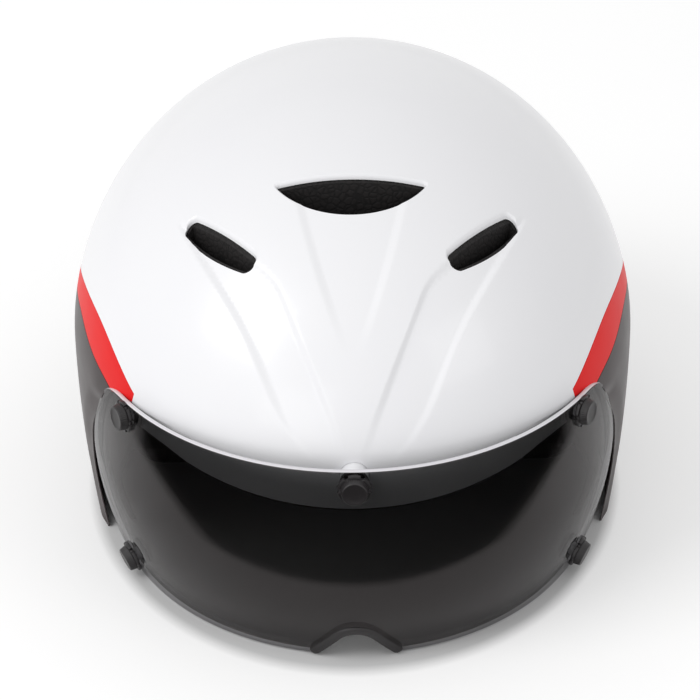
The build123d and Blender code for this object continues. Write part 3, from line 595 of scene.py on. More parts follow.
def makeSkins():
    # outer dome less inner dome, each cut back for the lens, then the openings and seats
    outline = lensOutline()
    domes = []
    for inset, columns, rows in ((0, shell["columns"], shell["rows"]),
                                 (shell["wall"], shell["innerColumns"], shell["innerRows"])):
        zone = prismX(offsetLine(outline, -(lens["rebateGap"] + inset)))
        rebate = combine(zone, lensSolid(lens["wall"] + lens["clearance"] + inset))
        domes.append(combine(domeBlank(inset, columns, rows), rebate))
    cutters = [ventCutter(line) for line in (middleIntake(), sideIntake(1), sideIntake(-1))]
    cutters += [ventCutter(exhaust(side), fromRear=True) for side in (1, -1)]
    hole = mounts["seatRadius"] + mounts["seatClearance"]
    depth = mounts["seatFace"] + mounts["seatDepth"]
    cutters += [drill(seat, hole, (-depth, 0)) for seat in buttonFrames()[:3]]
    return cutAll(combine(*domes), cutters)


# Finishes


def linearColour(code):
    # an sRGB hex colour as linear values
    parts = [int(code[i:i + 2], 16) / 255 for i in (1, 3, 5)]
    return (*[c / 12.92 if c <= 0.04045 else ((c + 0.055) / 1.055) ** 2.4 for c in parts], 1)


def addNode(tree, kind, settings=None, inputs=None):
    # one node: its settings, then each input as a value or a link
    item = tree.nodes.new("ShaderNode" + kind)
    for key, value in (settings or {}).items():
        setattr(item, key, value)
    for key, value in (inputs or {}).items():
        if isinstance(value, bpy.types.NodeSocket):
            tree.links.new(value, item.inputs[key])
        else:
            item.inputs[key].default_value = value
    return item


def emptyTree(owner):
    # the node tree of a material or world, with nothing in it
    owner.use_nodes = True
    owner.node_tree.nodes.clear()
    return owner.node_tree


def newFinish(name, sockets):
    # a material with one Principled shader: returns it, its tree, the shader and Object places
    finish = bpy.data.materials.new(name)
    tree = emptyTree(finish)
    shader = addNode(tree, "BsdfPrincipled", None, sockets)
    addNode(tree, "OutputMaterial", None, {"Surface": shader.outputs["BSDF"]})
    places = addNode(tree, "TexCoord")
    return finish, tree, shader, places.outputs["Object"]


def perMetre(millimetres):
    return 1000 / millimetres


def grain(tree, places, size, detail=2.0):
    # a noise whose lumps are about this many millimetres apart
    return addNode(tree, "TexNoise", None, {
        "Vector": places, "Scale": perMetre(size), "Detail": detail}).outputs["Fac"]


def cells(tree, places, size, feature="F1"):
    # distances in a pattern of cells about this many millimetres wide
    return addNode(tree, "TexVoronoi", {"feature": feature}, {
        "Vector": places, "Scale": perMetre(size)}).outputs["Distance"]


def ramp(tree, value, start, end, low=0.0, high=1.0, kind="LINEAR"):
    # low where the value is at its start, high where it is at its end
    return addNode(tree, "MapRange", {"interpolation_type": kind}, {
        "Value": value, "From Min": start, "From Max": end, "To Min": low,
        "To Max": high}).outputs["Result"]


def paint(tree, shader, factor, first, second):
    # base colour between two hex colours
    mixed = addNode(tree, "Mix", {"data_type": "RGBA"}, {
        0: factor, 6: linearColour(first), 7: linearColour(second)})
    tree.links.new(mixed.outputs[2], shader.inputs["Base Color"])


def polish(tree, shader, value, low, high):
    # roughness from low to high where the value goes from 0 to 1
    tree.links.new(ramp(tree, value, 0, 1, low, high), shader.inputs["Roughness"])


def press(tree, shader, height, depth, normal=None):
    # a height pattern pressed into the surface, this many millimetres deep
    inputs = {"Height": height, "Distance": depth / 1000, "Strength": 1.0}
    if normal is not None:
        inputs["Normal"] = normal
    bump = addNode(tree, "Bump", None, inputs)
    tree.links.new(bump.outputs["Normal"], shader.inputs["Normal"])
    return bump.outputs["Normal"]


def lacqueredShell(name, colour, shade, rough, coat=0.35, mirror=0.5):
    # sprayed lacquer over polycarbonate: even colour, faint orange peel, a soft sheen
    finish, tree, shader, places = newFinish(name, {
        "Coat Weight": coat, "Coat Roughness": 0.12, "IOR": 1.5,
        "Specular IOR Level": mirror})
    paint(tree, shader, grain(tree, places, 55.0), colour, shade)
    polish(tree, shader, grain(tree, places, 9.0), rough - 0.04, rough + 0.05)
    press(tree, shader, grain(tree, places, 1.9, 1.0), 0.006)
    return finish


def mouldedPlastic(name, colour, shade, rough, grainSize, depth, mirror=0.5):
    # moulded plastic: a fine spark-eroded grain, slightly uneven gloss
    finish, tree, shader, places = newFinish(name, {"IOR": 1.49, "Specular IOR Level": mirror})
    cloud = grain(tree, places, 14.0)
    paint(tree, shader, cloud, colour, shade)
    polish(tree, shader, cloud, rough - 0.05, rough + 0.06)
    press(tree, shader, grain(tree, places, grainSize, 3.0), depth)
    return finish


def mouldedBeadFoam():
    # expanded beads fused in a mould: round cells with creases between them, pressed in and painted
    # darker as shade
    finish, tree, shader, places = newFinish("mouldedBeadFoam", {"IOR": 1.4, "Roughness": 0.72})
    beads = cells(tree, places, 2.3, "DISTANCE_TO_EDGE")
    creaseDepthAndShade = ramp(tree, beads, 0, 0.22, kind="SMOOTHSTEP")
    # darker in the creases: painted shade
    paint(tree, shader, creaseDepthAndShade, "#0c0a0a", "#1b1818")
    rough = press(tree, shader, grain(tree, places, 0.9, 3.0), 0.05)
    press(tree, shader, creaseDepthAndShade, 0.10, rough)
    return finish


def polishedSmokeLens():
    # smoke-tinted polycarbonate, injection moulded and hard coated: clear, dark and glassy
    finish, tree, shader, places = newFinish("polishedSmokePolycarbonate", {
        "Base Color": linearColour("#070606"), "IOR": 1.5, "Specular IOR Level": 0.46,
        "Specular Tint": linearColour("#fff1f2"), "Alpha": 0.59})
    polish(tree, shader, grain(tree, places, 30.0), 0.015, 0.035)
    press(tree, shader, grain(tree, places, 24.0, 0.0), 0.012)
    return finish


def paintedHighlightEdge():
    # the cut and polished edge of the lens, painted pale: its near-white colour is a painted
    # highlight for the bright line along the lens's edge
    return newFinish("paintedHighlightSmokeEdge", {
        "Base Color": linearColour("#e2e0e4"), "IOR": 1.5, "Roughness": 0.12})[0]


def brushedKnit():
    # brushed knit over soft foam: small loops and a pale nap at grazing angles
    finish, tree, shader, places = newFinish("brushedKnit", {
        "Roughness": 0.9, "Sheen Weight": 0.45, "Sheen Roughness": 0.4})
    loops = cells(tree, places, 1.1)
    # darker between the loops, where the bump sinks: painted shade
    paint(tree, shader, loops, "#3a3b42", "#1b1c20")
    nap = press(tree, shader, grain(tree, places, 0.5, 3.0), 0.08)
    press(tree, shader, loops, -0.22, nap)
    return finish


def hookTape():
    # woven tape with a field of tiny stiff hooks
    finish, tree, shader, places = newFinish("wovenHookTape", {"Roughness": 0.7})
    hookHeightAndShade = cells(tree, places, 1.0, "SMOOTH_F1")
    # darker away from the hooks, where the bump sinks: painted shade
    paint(tree, shader, hookHeightAndShade, "#29292b", "#0c0c0d")
    press(tree, shader, hookHeightAndShade, -0.35)
    return finish


def wovenWebbing():
    # flat polyester webbing: ribs across it every 1.5 mm, and yarns along it
    finish, tree, shader, _ = newFinish("wovenPolyester", {
        "Roughness": 0.62, "Sheen Weight": 0.2})
    uv = addNode(tree, "UVMap", {"uv_map": "UVMap"}).outputs["UV"]
    # a wave texture runs through 20 / (2 * pi) waves for each unit of its scale
    ribHeightAndShade, yarns = (addNode(tree, "TexWave", {"bands_direction": axis}, {
        "Vector": uv, "Scale": 2 * math.pi / 20 * perMetre(size)}).outputs["Fac"]
        for axis, size in (("Y", 1.5), ("X", 1.05)))
    weave = addNode(tree, "Math", {"operation": "MULTIPLY_ADD"}, {
        0: yarns, 1: 0.45, 2: ribHeightAndShade}).outputs[0]
    # lighter on the ribs and darker between them, following the bump: painted shade
    paint(tree, shader, ribHeightAndShade, "#0e0e10", "#2a2a2d")
    press(tree, shader, weave, 0.14)
    return finish


def turnedMetal(name, colour, rough):
    # machined or plated metal: bright, with a fine uneven polish
    finish, tree, shader, places = newFinish(name, {
        "Base Color": linearColour(colour), "Metallic": 1.0})
    polish(tree, shader, grain(tree, places, 0.8, 4.0), rough - 0.07, rough + 0.1)
    press(tree, shader, grain(tree, places, 0.35, 2.0), 0.004)
    return finish


print("finishes")
finishes = {
    "shell_white": lacqueredShell("lacqueredWhitePolycarbonate", "#f5f5f7", "#f1f1f4", 0.33),
    "stripe_red": lacqueredShell("lacqueredRedPolycarbonate", "#ee1413", "#e81214", 0.42, 0.0,
                                0.16),
    "shell_dark": mouldedPlastic("mouldedCharcoalPolycarbonate", "#3a3131", "#342c2c", 0.34,
                                 0.7, 0.008, 0.18),
    "foam_black": mouldedBeadFoam(),
    "lens_smoke": polishedSmokeLens(),
    "trim_rubber": mouldedPlastic("mouldedSoftRubber", "#232021", "#1b1819", 0.52, 0.6, 0.02),
    "seat_black": mouldedPlastic("mouldedBlackNylon", "#1c181a", "#171415", 0.40, 0.45, 0.012),
    "magnet_nickel": turnedMetal("platedNickel", "#cfccc4", 0.24),
    "pad_fabric": brushedKnit(),
    "hook_tape": hookTape(),
    "webbing_black": wovenWebbing(),
    "buckle_black": mouldedPlastic("mouldedBlackAcetal", "#161617", "#111112", 0.36, 0.5, 0.010),
    "cradle_nylon": mouldedPlastic("mouldedDarkNylon", "#232325", "#1d1d1f", 0.47, 0.6, 0.018),
    "pinion_acetal": mouldedPlastic("mouldedNaturalAcetal", "#d9d7cf", "#cfccc2", 0.38, 0.5, 0.006),
    "knob_black": mouldedPlastic("mouldedRibbedNylon", "#1c1c1d", "#151516", 0.44, 0.4, 0.014),
    "spring_steel": turnedMetal("drawnSpringSteel", "#b9b9b6", 0.22),
    "screw_steel": turnedMetal("turnedStainlessSteel", "#a3a3a0", 0.30),
}


def wear(item, slotName):
    # the slot's finish, in place of any other
    item.data.materials.clear()
    item.data.materials.append(finishes[slotName])


slotOf = {part["node"]: part["material_slot"] for part in frame["record"]["subparts"]}
# the seats lie flush in the white shell and are lacquered with it
slotOf["magnet_seats"] = "shell_white"
for node, item in frame["nodes"].items():
    wear(item, slotOf[node])


def dress(piece, body, slotName, *replaced):
    # its finish, its body if it rides one, its slot and the nodes that it stands for
    wear(piece, slotName)
    if body:
        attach(piece, body)
    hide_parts(*replaced)
    return piece


def finishPiece(name, mesh, body, slotName, *replaced):
    return dress(newObject(name, mesh), body, slotName, *replaced)


# The skins as pieces

print("skins")


def makeSkinPieces():
    # the skin parted along the seams: white above, red bands, dark below
    skin = makeSkins()
    move = np.array((shell["seam"], -shell["seam"]))
    white, band = whiteOutline(), stripeOutline()
    upper = combine(skin.copy(), prismX(white), "INTERSECT")
    bands = combine(skin.copy(), prismX(band), "INTERSECT")
    bands = combine(bands, prismX(white + move))
    away = (white, white + move, band, band + move, belowOutline())
    lower = cutAll(skin, [prismX(outline) for outline in away])
    for mesh in (upper, bands, lower):
        finishNormals(mesh)
    finishPiece("upperShell", upper, "helmet", "shell_white", "upper_shell")
    finishPiece("sideStripes", bands, "helmet", "stripe_red", "stripe_left", "stripe_right")
    finishPiece("lowerShell", lower, "helmet", "shell_dark", "lower_shell")


makeSkinPieces()


# The smoke lens

notch = {"halfWidth": 17.8, "height": 15.4, "topRadius": 11.0, "trimWidth": 3.8, "grip": 2.0,
         "proud": 0.9, "squareness": 2 / 3, "sides": 28}


def notchForm(inset):
    # a round top on straight flanks: their angle, its radius and middle, half the width below
    middle = notch["height"] - notch["topRadius"]
    reach = math.hypot(notch["halfWidth"], middle)
    flank = math.atan2(middle, notch["halfWidth"]) + math.asin(notch["topRadius"] / reach)
    half = notch["halfWidth"] - inset / math.sin(flank)
    return flank, notch["topRadius"] - inset, middle, half


def notchHeight(x, inset):
    # height of the notch's edge over the lens's bottom
    flank, radius, middle, half = notchForm(inset)
    x = np.abs(x)
    arc = middle + np.sqrt(np.maximum(radius ** 2 - x ** 2, 0))
    line = (half - x) * math.tan(flank)
    return np.maximum(np.where(x < radius * math.sin(flank), arc, line), 0)


def lensGrid():
    # rows run from the top edge to the bottom edge, columns from rear edge to rear edge
    inset = lens["rim"]
    edge = offsetLine(lensOutline()[1:-1], -inset)[::-1]
    t = np.linspace(-1, 1, lens["columns"])
    u = lerp(t, t ** 3, lens["columnEase"])
    t = np.linspace(0, 1, lens["rows"])[:, None]
    v = lerp(t, (1 - np.cos(math.pi * t)) / 2, lens["rowEase"])
    top = lens["top"] - inset
    low = np.full(len(u), lensBottom() + inset)
    # the bottom row hangs on where its columns stand, and settles in a few rounds
    for _ in range(6):
        z = top + (low - top) * v
        rear = np.interp(z, edge[:, 1], edge[:, 0])
        widest = np.arccos(np.clip(-(rear + lens["setback"]) / lensRadius(z), -1, 1))
        points = lensPoint(u * widest, z)
        low = lensBottom() + inset + notchHeight(points[..., 0], notch["grip"] - inset)
    return points


def halfRound(outer, inner, normals, rim, parts):
    # rows of points from an outer edge round to the inner one
    run = np.roll(outer, -1, 0) - np.roll(outer, 1, 0)
    out = unit(np.cross(run, normals))
    if np.sum(out * (outer - outer.mean(0))) < 0:
        out = -out
    turn = np.linspace(0, math.pi, parts + 1)[1:-1, None, None]
    return (outer + inner + (outer - inner) * np.cos(turn)) / 2 + out * rim * np.sin(turn)


def thickSheet(name, grid, normals, wall, rim, uv=None, parts=6):
    # a face and its inner copy, joined by a half-round rim; rim is how far that stands out
    rows, columns = grid.shape[:2]
    index = np.arange(rows * columns).reshape(rows, columns)
    loop = np.concatenate([index[0], index[1:, -1], index[-1, -2::-1], index[-2:0:-1, 0]])
    outer = grid.reshape(-1, 3)
    normals = normals.reshape(-1, 3)
    inner = outer - normals * wall
    rounds = halfRound(outer[loop], inner[loop], normals[loop], rim, parts)
    points = np.concatenate([outer, inner, rounds.reshape(-1, 3)])
    a, b, c, d = index[:-1, :-1], index[1:, :-1], index[1:, 1:], index[:-1, 1:]
    face = np.stack([a, b, c, d], -1).reshape(-1, 4)
    size = rows * columns
    between = 2 * size + np.arange((parts - 1) * len(loop))
    chain = np.concatenate([loop, between, loop + size]).reshape(parts + 1, -1)
    ahead = np.roll(chain, -1, 1)
    strips = np.stack([chain[:-1], ahead[:-1], ahead[1:], chain[1:]], -1).reshape(-1, 4)
    faces = np.concatenate([face, face[:, ::-1] + size, strips])
    first = points[faces[0]]
    if np.cross(first[1] - first[0], first[2] - first[1]) @ normals[0] < 0:
        faces = faces[:, ::-1]
    mesh = buildMesh(name, points, faces.tolist())
    if uv is not None:
        uv = uv.reshape(-1, 2)
        every = np.concatenate([uv, uv, *[uv[loop]] * (parts - 1)])
        corner = readArray(mesh.loops, "vertex_index", kind=int)
        mesh.uv_layers.new(name="UVMap").uv.foreach_set("vector", every[corner].ravel())
    return mesh


def makeLens():
    grid = lensGrid()
    mesh = thickSheet("visorLens", grid, lensNormal(grid), lens["wall"], lens["rim"])
    holes = [drill(one, mounts["screwRadius"], mounts["through"]) for one in buttonFrames()]
    mesh = cutAll(mesh, holes)
    mesh.set_sharp_from_angle(angle=lens["sharp"])
    finishPiece("smokeLens", mesh, "visor", "lens_smoke", "visor_lens")
    # faces that lie between the outer and the inner surface are the polished edge, which is painted
    # pale as a highlight
    mesh.materials.append(paintedHighlightEdge())
    x, y, z = backPlace(readArray(mesh.polygons, "center", 3)).T
    depth = lensRadius(z) - np.hypot(x / squeeze, y + lens["setback"])
    # these edge faces get the pale painted highlight
    edge = np.abs(depth / lens["wall"] - 0.5) < 0.5 - lens["edgeShare"]
    mesh.polygons.foreach_set("material_index", edge.astype(int))


print("visor")
makeLens()


def makeNoseTrim():
    # a rounded strip round the notch: its path is the notch's edge, half the trim inside it
    inset = notch["trimWidth"] / 2
    flank, radius, middle, half = notchForm(inset)
    turn = np.linspace(-flank, flank, 40)
    arc = np.column_stack([radius * np.sin(turn), middle + radius * np.cos(turn)])
    left = lerp(np.array([-half, 0]), arc[0], np.linspace(0, 1, 16)[:-1, None])
    x, rise = np.concatenate([left, arc, (left * (-1, 1))[::-1]]).T
    points = lensFace(x, lensBottom() + rise)
    out = lensNormal(points)
    run = unit(np.gradient(points, axis=0))
    side = unit(np.cross(run, out))
    s = runningLength(points)
    near = np.minimum(s, s[-1] - s) / inset
    shrink = np.sqrt(np.clip(1 - (1 - np.minimum(near, 1)) ** 2, 0.02, 1))[:, None, None]
    # its section is a superellipse, and both ends run out round
    angle = fullTurn(notch["sides"])
    section = np.array([np.cos(angle), np.sin(angle)])
    section = np.sign(section) * np.abs(section) ** notch["squareness"]
    across, deep = section[..., None] * [[[inset]], [[lens["wall"] / 2 + notch["proud"]]]]
    rings = ((points - out * lens["wall"] / 2)[:, None]
             + shrink * (side[:, None] * across + out[:, None] * deep))
    finishPiece("noseTrim", ringMesh("noseTrim", rings, flip=True), "visor", "trim_rubber",
                "nose_trim")


makeNoseTrim()


# The buttons

button = {
    "baseRadius": 5.75, "baseHeight": 1.2, "notches": 6, "notchRadius": 0.9, "stem": 2.4,
    "capRadius": 4.7, "faceRadius": 4.3, "capHeight": 2.6, "edge": 0.42, "ripples": 40,
    "rippleDepth": 0.05, "sides": 240, "sharp": 0.7, "tip": 0.02,
}


def joinMeshes(name, meshes):
    # several meshes as one, with their points put one after another
    points, faces, base = [], [], 0
    for mesh in meshes:
        points.append(meshPoints(mesh))
        faces += [[base + i for i in face.vertices] for face in mesh.polygons]
        base += len(mesh.vertices)
    return buildMesh(name, np.concatenate(points), faces)


def footRings():
    # a notched foot on a stem through the lens; each ring is its radius, its height and
    # how much of the notches it has
    base, high, stem, tip = (button[key] for key in ("baseRadius", "baseHeight", "stem", "tip"))
    return [(tip, -lens["wall"], 0), (stem, -lens["wall"], 0), (stem, -0.10, 0),
            (base - 0.15, -0.10, 1), (base, 0.05, 1), (base, high - 0.35, 1),
            (base - 0.10, high - 0.10, 1), (base - 0.35, high, 1),
            (button["capRadius"] - 0.3, high, 0), (tip, high, 0)]


def capRings():
    # a cap with a round edge and a dished face, in the same way with ripples
    high, cap, face = button["baseHeight"], button["capRadius"], button["faceRadius"]
    top, edge, tip = high + button["capHeight"], button["edge"], button["tip"]
    rings = [(tip, high, 0), (cap - 0.12, high, 0), (cap, high + 0.12, 1),
             (lerp(cap, face, 0.5), high + 0.5 * (top - edge - high), 1)]
    rings += [(face - edge * (1 - math.cos(a)), top - edge * (1 - math.sin(a)), 1 - math.sin(a))
              for a in np.linspace(0, math.pi / 2, 6)]
    return rings + [(face * 0.82, top - 0.02, 0), (face * 0.74, top - 0.10, 0),
                    (face * 0.4, top - 0.14, 0), (tip, top - 0.15, 0)]


def makeButtons():
    # each button is turned about the lens's normal
    angle = fullTurn(button["sides"])
    pitch = 2 * math.pi / button["notches"]
    away = np.abs((angle + pitch / 2) % pitch - pitch / 2) * button["baseRadius"]
    cut = np.sqrt(np.maximum(button["notchRadius"] ** 2 - away ** 2, 0))
    ripple = button["rippleDepth"] * np.cos(button["ripples"] * angle)
    for name, rings, wave, node in (("buttonFeet", footRings(), -cut, "button_bases"),
                                    ("buttonCaps", capRings(), ripple, "button_caps")):
        radius = np.array([r + wave * on for r, _, on in rings])
        heights = [h for _, h, _ in rings]
        mesh = joinMeshes(name, [
            ringMesh("one", turned(frameHere, radius, heights, button["sides"]))
            for frameHere in buttonFrames()])
        mesh.set_sharp_from_angle(angle=button["sharp"])
        finishPiece(name, mesh, "visor", "seat_black", node)


makeButtons()


# The pads: small cushions blown up flat, stitched, then bent onto the room for the head

pads = {
    "low": 1.25, "high": 6.15, "inset": 1.1, "thick": 3.1, "voxel": 1.3, "swell": 1.15,
    "pressure": 4.0, "frames": 20, "seamInset": 2.6, "seamWidth": 0.55, "seamDepth": 0.55,
    "channelWidth": 0.8, "channelDepth": 0.75, "pullIn": 0.5, "fill": 0.75, "pinned": 0.4,
    "edgeShare": 0.94, "edgeHeight": 0.9, "freeFrom": 0.45, "freeOver": 0.5,
}
headRoom = {"halfWidth": 79.0, "front": 96.0, "rear": 112.0, "top": 64.0}
cradle = {"bend": 82.5, "layer": 1.35, "middleY": 16.7, "dialZ": -43.0}
usualPad = {"corner": 8.0, "wrap": "top", "body": "helmet", "channels": ()}
padShapes = {
    "browPad": usualPad | {"node": "brow_pad", "size": (120.0, 20.0), "at": (0.0, 10.0),
                           "wrap": "front", "channels": (-30.0, 0.0, 30.0)},
    "crownPad": usualPad | {"node": "crown_pad", "size": (30.0, 102.0), "at": (0.0, 11.0)},
    "sidePadLeft": usualPad | {"node": "side_pad_left", "size": (18.0, 84.0), "at": (43.0, 8.0)},
    "sidePadRight": usualPad | {"node": "side_pad_right", "size": (18.0, 84.0),
                                "at": (-43.0, 8.0)},
    "cradlePad": {"node": "cradle_pad", "size": (78.0, 21.0), "at": (0.0, 0.0), "corner": 5.0,
                  "wrap": "rear", "body": "cradle", "channels": (-19.5, 0.0, 19.5)},
}


def roundedBox(size, corner, sides=10):
    # an outline of straight sides and quarter-round corners, about the origin
    turn = np.linspace(0, math.pi / 2, sides)
    turn = np.concatenate([turn + k * math.pi / 2 for k in range(4)])
    middles = np.repeat([(1, 1), (-1, 1), (-1, -1), (1, -1)], sides, axis=0)
    return (np.array(size) / 2 - corner) * middles + corner * np.column_stack(
        [np.cos(turn), np.sin(turn)])


def insideDepth(p, size, corner):
    # how far a point lies inside the rounded outline
    q = np.abs(p[:, :2]) - (np.array(size) / 2 - corner)
    outside = np.linalg.norm(np.maximum(q, 0), axis=1)
    return corner - outside - np.minimum(q.max(1), 0)


def bendPad(p, shape):
    # flat cushion to its place: across, along, and depth below the foam's inner face
    u, v = p[:, 0] + shape["at"][0], p[:, 1] + shape["at"][1]
    depth = pads["low"] + p[:, 2]
    wide, top = headRoom["halfWidth"] - depth, headRoom["top"] - depth
    if shape["wrap"] == "top":
        reach = np.where(v < 0, headRoom["front"], headRoom["rear"]) - depth
        return np.column_stack([u, v, top * np.sqrt(1 - (u / wide) ** 2 - (v / reach) ** 2)])
    if shape["wrap"] == "front":
        reach = headRoom["front"] - depth
        rise = 1 - (u / wide) ** 2 - (np.maximum(v, 0) / top) ** 2
        return np.column_stack([u, -reach * np.sqrt(rise), v])
    radius = cradle["bend"] - cradle["layer"] - depth
    return np.column_stack([u, cradle["middleY"] + np.sqrt(radius ** 2 - u ** 2),
                            v + cradle["dialZ"]])


def appliedMesh(piece):
    # the piece keeps its shape and loses its modifiers
    mesh, old = worked(piece), piece.data
    piece.modifiers.clear()
    piece.data = mesh
    bpy.data.meshes.remove(old)
    return mesh


def flatCushion(name, shape):
    # a thin slab with even small faces, which the cloth starts from
    size = np.array(shape["size"]) - 2 * pads["inset"]
    rim = roundedBox(size, shape["corner"] - pads["inset"])
    small, edge, thick = pads["edgeShare"], pads["edgeHeight"], pads["thick"]
    rings = [np.column_stack([rim * share, np.full(len(rim), high)]) for share, high in
             ((small, 0.0), (1.0, edge), (1.0, thick - edge), (small, thick))]
    piece = newObject(name, ringMesh(name, np.array(rings)))
    remesh = piece.modifiers.new("even", "REMESH")
    remesh.mode = "VOXEL"
    remesh.voxel_size = pads["voxel"] / 1000
    appliedMesh(piece)
    return piece


def blowUp(pieces):
    # cloth under inner pressure, without gravity; how far a point moves is capped
    starts = {}
    for piece in pieces:
        starts[piece.name] = meshPoints(piece.data)
        back = piece.vertex_groups.new(name="back")
        flat = np.where(starts[piece.name][:, 2] < pads["pinned"])[0]
        back.add(flat.tolist(), 1.0, "REPLACE")
        cloth = piece.modifiers.new("cloth", "CLOTH")
        cloth.settings.use_pressure = True
        cloth.settings.uniform_pressure_force = pads["pressure"]
        cloth.settings.vertex_group_mass = "back"
        cloth.settings.effector_weights.gravity = 0
        cloth.point_cache.frame_start = 1
        cloth.point_cache.frame_end = pads["frames"]
    scene = bpy.context.scene
    for step in range(1, pads["frames"] + 1):
        scene.frame_set(step)
    for piece in pieces:
        mesh = appliedMesh(piece)
        piece.vertex_groups.clear()
        start = starts[piece.name]
        moved = meshPoints(mesh) - start
        length = np.linalg.norm(moved, axis=1, keepdims=True)
        moved *= np.minimum(1, pads["swell"] / np.maximum(length, 1e-6))
        setPoints(mesh, start + moved)
    scene.frame_set(1)


def stitchPad(p, shape):
    # sides pull in between the corners; an edge seam and channels sink into the free face
    half = np.array(shape["size"]) / 2
    pull = pads["pullIn"] * np.cos(math.pi / 2 * np.clip(p[:, :2] / half, -1, 1))
    p[:, 0] *= 1 - pull[:, 1] / half[0]
    p[:, 1] *= 1 - pull[:, 0] / half[1]
    free = smooth((p[:, 2] / pads["thick"] - pads["freeFrom"]) / pads["freeOver"])
    inside = insideDepth(p, shape["size"], shape["corner"])
    seam = np.exp(-((inside - pads["seamInset"]) / pads["seamWidth"]) ** 2)
    sink = pads["seamDepth"] * seam
    for u in shape["channels"]:
        line = np.exp(-((p[:, 0] - u) / pads["channelWidth"]) ** 2)
        sink = np.maximum(sink, pads["channelDepth"] * line * (inside > pads["seamInset"]))
    p[:, 2] -= sink * free
    p[:, 2] = np.clip(p[:, 2], 0, pads["high"] - pads["low"])
    return p


def makePads():
    pieces = {name: flatCushion(name, shape) for name, shape in padShapes.items()}
    blowUp(pieces.values())
    for name, shape in padShapes.items():
        piece = pieces[name]
        piece.modifiers.new("finer", "SUBSURF").levels = 1
        mesh = appliedMesh(piece)
        setPoints(mesh, bendPad(stitchPad(meshPoints(mesh), shape), shape))
        if shape["wrap"] != "rear":
            mesh.flip_normals()
        mesh.update()
        mesh.shade_smooth()
        dress(piece, shape["body"], "pad_fabric", shape["node"])


print("pads")
makePads()


# The webbing

straps = {
    "width": 15.0, "thick": 1.2, "x": 84.0, "step": 0.8, "top": -18.3, "dividerY": 8.0,
    "dividerZ": -47.0, "stop": 3.6, "frontY": -14.0, "rearY": 38.0, "chinTop": -49.4,
    "chinZ": -63.0, "bend": 11.0, "leftEnd": 27.0, "rightEnd": 15.0, "rim": 0.3, "columns": 13,
}


def webbingPiece(name, path, across, outward, body, node):
    # flat webbing along a path: even thickness, rounded selvedges, texture laid in metres
    share = np.linspace(-0.5, 0.5, straps["columns"]) * (straps["width"] - 2 * straps["rim"])
    grid = path[:, None] + share[None, :, None] * across + outward[:, None] * straps["thick"] / 2
    normals = np.repeat(outward[:, None], straps["columns"], 1)
    uv = np.stack(np.meshgrid(share, runningLength(path)), -1) / 1000
    mesh = thickSheet(name, grid, normals, straps["thick"], straps["rim"], uv, 4)
    return finishPiece(name, mesh, body, "webbing_black", node)


def sideStrap(name, side, anchorY, step, node):
    # straight from its anchor in the foam down to the divider
    top = np.array([anchorY, straps["top"]])
    run = np.array([straps["dividerY"], straps["dividerZ"]]) - top
    end = top + run * (1 - straps["stop"] / abs(run[1]))
    line = lerp(top, end, np.linspace(0, 1, 24)[:, None])
    path = np.insert(line, 0, side * (straps["x"] + step), axis=1)
    across = np.array([0.0, *unit(np.array([-run[1], run[0]]))])
    outward = np.tile([float(side), 0, 0], (len(path), 1))
    webbingPiece(name, path, across, outward, "helmet", node)


def chinStrap(name, side, end, body, node):
    # down from the divider, round a bend, and level towards the buckle
    corner = (straps["x"], straps["chinZ"])
    line = filletLine([(straps["x"], straps["chinTop"]), corner, (end, straps["chinZ"])],
                      [straps["bend"]])
    flat = lerp(line[-2], line[-1], np.linspace(0, 1, 26)[1:, None])
    line = np.concatenate([line[:-1], flat])
    path = np.insert(line, 1, straps["dividerY"], axis=1) * (side, 1, 1)
    outward = np.insert(leftOf(line), 1, 0, axis=1) * (side, 1, 1)
    return webbingPiece(name, path, np.array([0.0, 1, 0]), outward, body, node)


print("webbing")
for sideName, side in (("Left", 1), ("Right", -1)):
    low = sideName.lower()
    sideStrap("frontStrap" + sideName, side, straps["frontY"], straps["step"],
              "front_strap_" + low)
    sideStrap("rearStrap" + sideName, side, straps["rearY"], -straps["step"],
              "rear_strap_" + low)
chinStrap("chinStrapLeft", 1, straps["leftEnd"], "helmet", "chin_strap_left")
loose = chinStrap("chinStrapRight", -1, straps["rightEnd"], None, "chin_strap_right")
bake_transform(loose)


# Camera, light and floor

view = {"elevation": 28.0, "distance": 1.0, "focalPixels": 2680.0, "pixels": 700.0,
        "centre": (352.5, 315.6), "roll": 0.65, "filmWidth": 36.0}


def makeCamera():
    # looks at the middle of the shell's widest level, from the front and above
    data = bpy.data.cameras.new("camera")
    camera = newObject("camera", data)
    lift = math.radians(view["elevation"])
    away = Vector((0, -math.cos(lift), math.sin(lift)))
    turn = (-away).to_track_quat("-Z", "Y").to_matrix()
    roll = Matrix.Rotation(-math.radians(view["roll"]), 3, "Z")
    camera.matrix_world = Matrix.LocRotScale(
        Vector(place((0, 0, 0))) + away * view["distance"], turn @ roll, None)
    data.sensor_width = view["filmWidth"]
    data.lens = view["focalPixels"] / view["pixels"] * view["filmWidth"]
    data.shift_x = (view["pixels"] / 2 - view["centre"][0]) / view["pixels"]
    data.shift_y = (view["centre"][1] - view["pixels"] / 2) / view["pixels"]
    data.clip_end = 50
    bpy.context.scene.camera = camera


# sizes in metres; three pairs are half widths of ovals on the floor: inside the first the lift is
# left off as painted shade, and mirrors see the floor black between the cloth oval and the third,
# in front, as a painted dark reflection
studio = {
    "world": 0.62, "lift": 0.36, "reach": 6.0, "edge": 0.05, "floorColour": (0.8, 0.8, 0.8, 1),
    "paintedShadeFootprint": (0.100, 0.137), "cloth": (0.186, 0.176), "paintedDarkReflection": (0.42, 0.42),
    "paintedReflectionFront": (-0.02, -0.06), "aim": (0.0, 0.0, 0.06),
}


def maths(tree, operation, a, b):
    return addNode(tree, "Math", {"operation": operation}, {0: a, 1: b}).outputs[0]


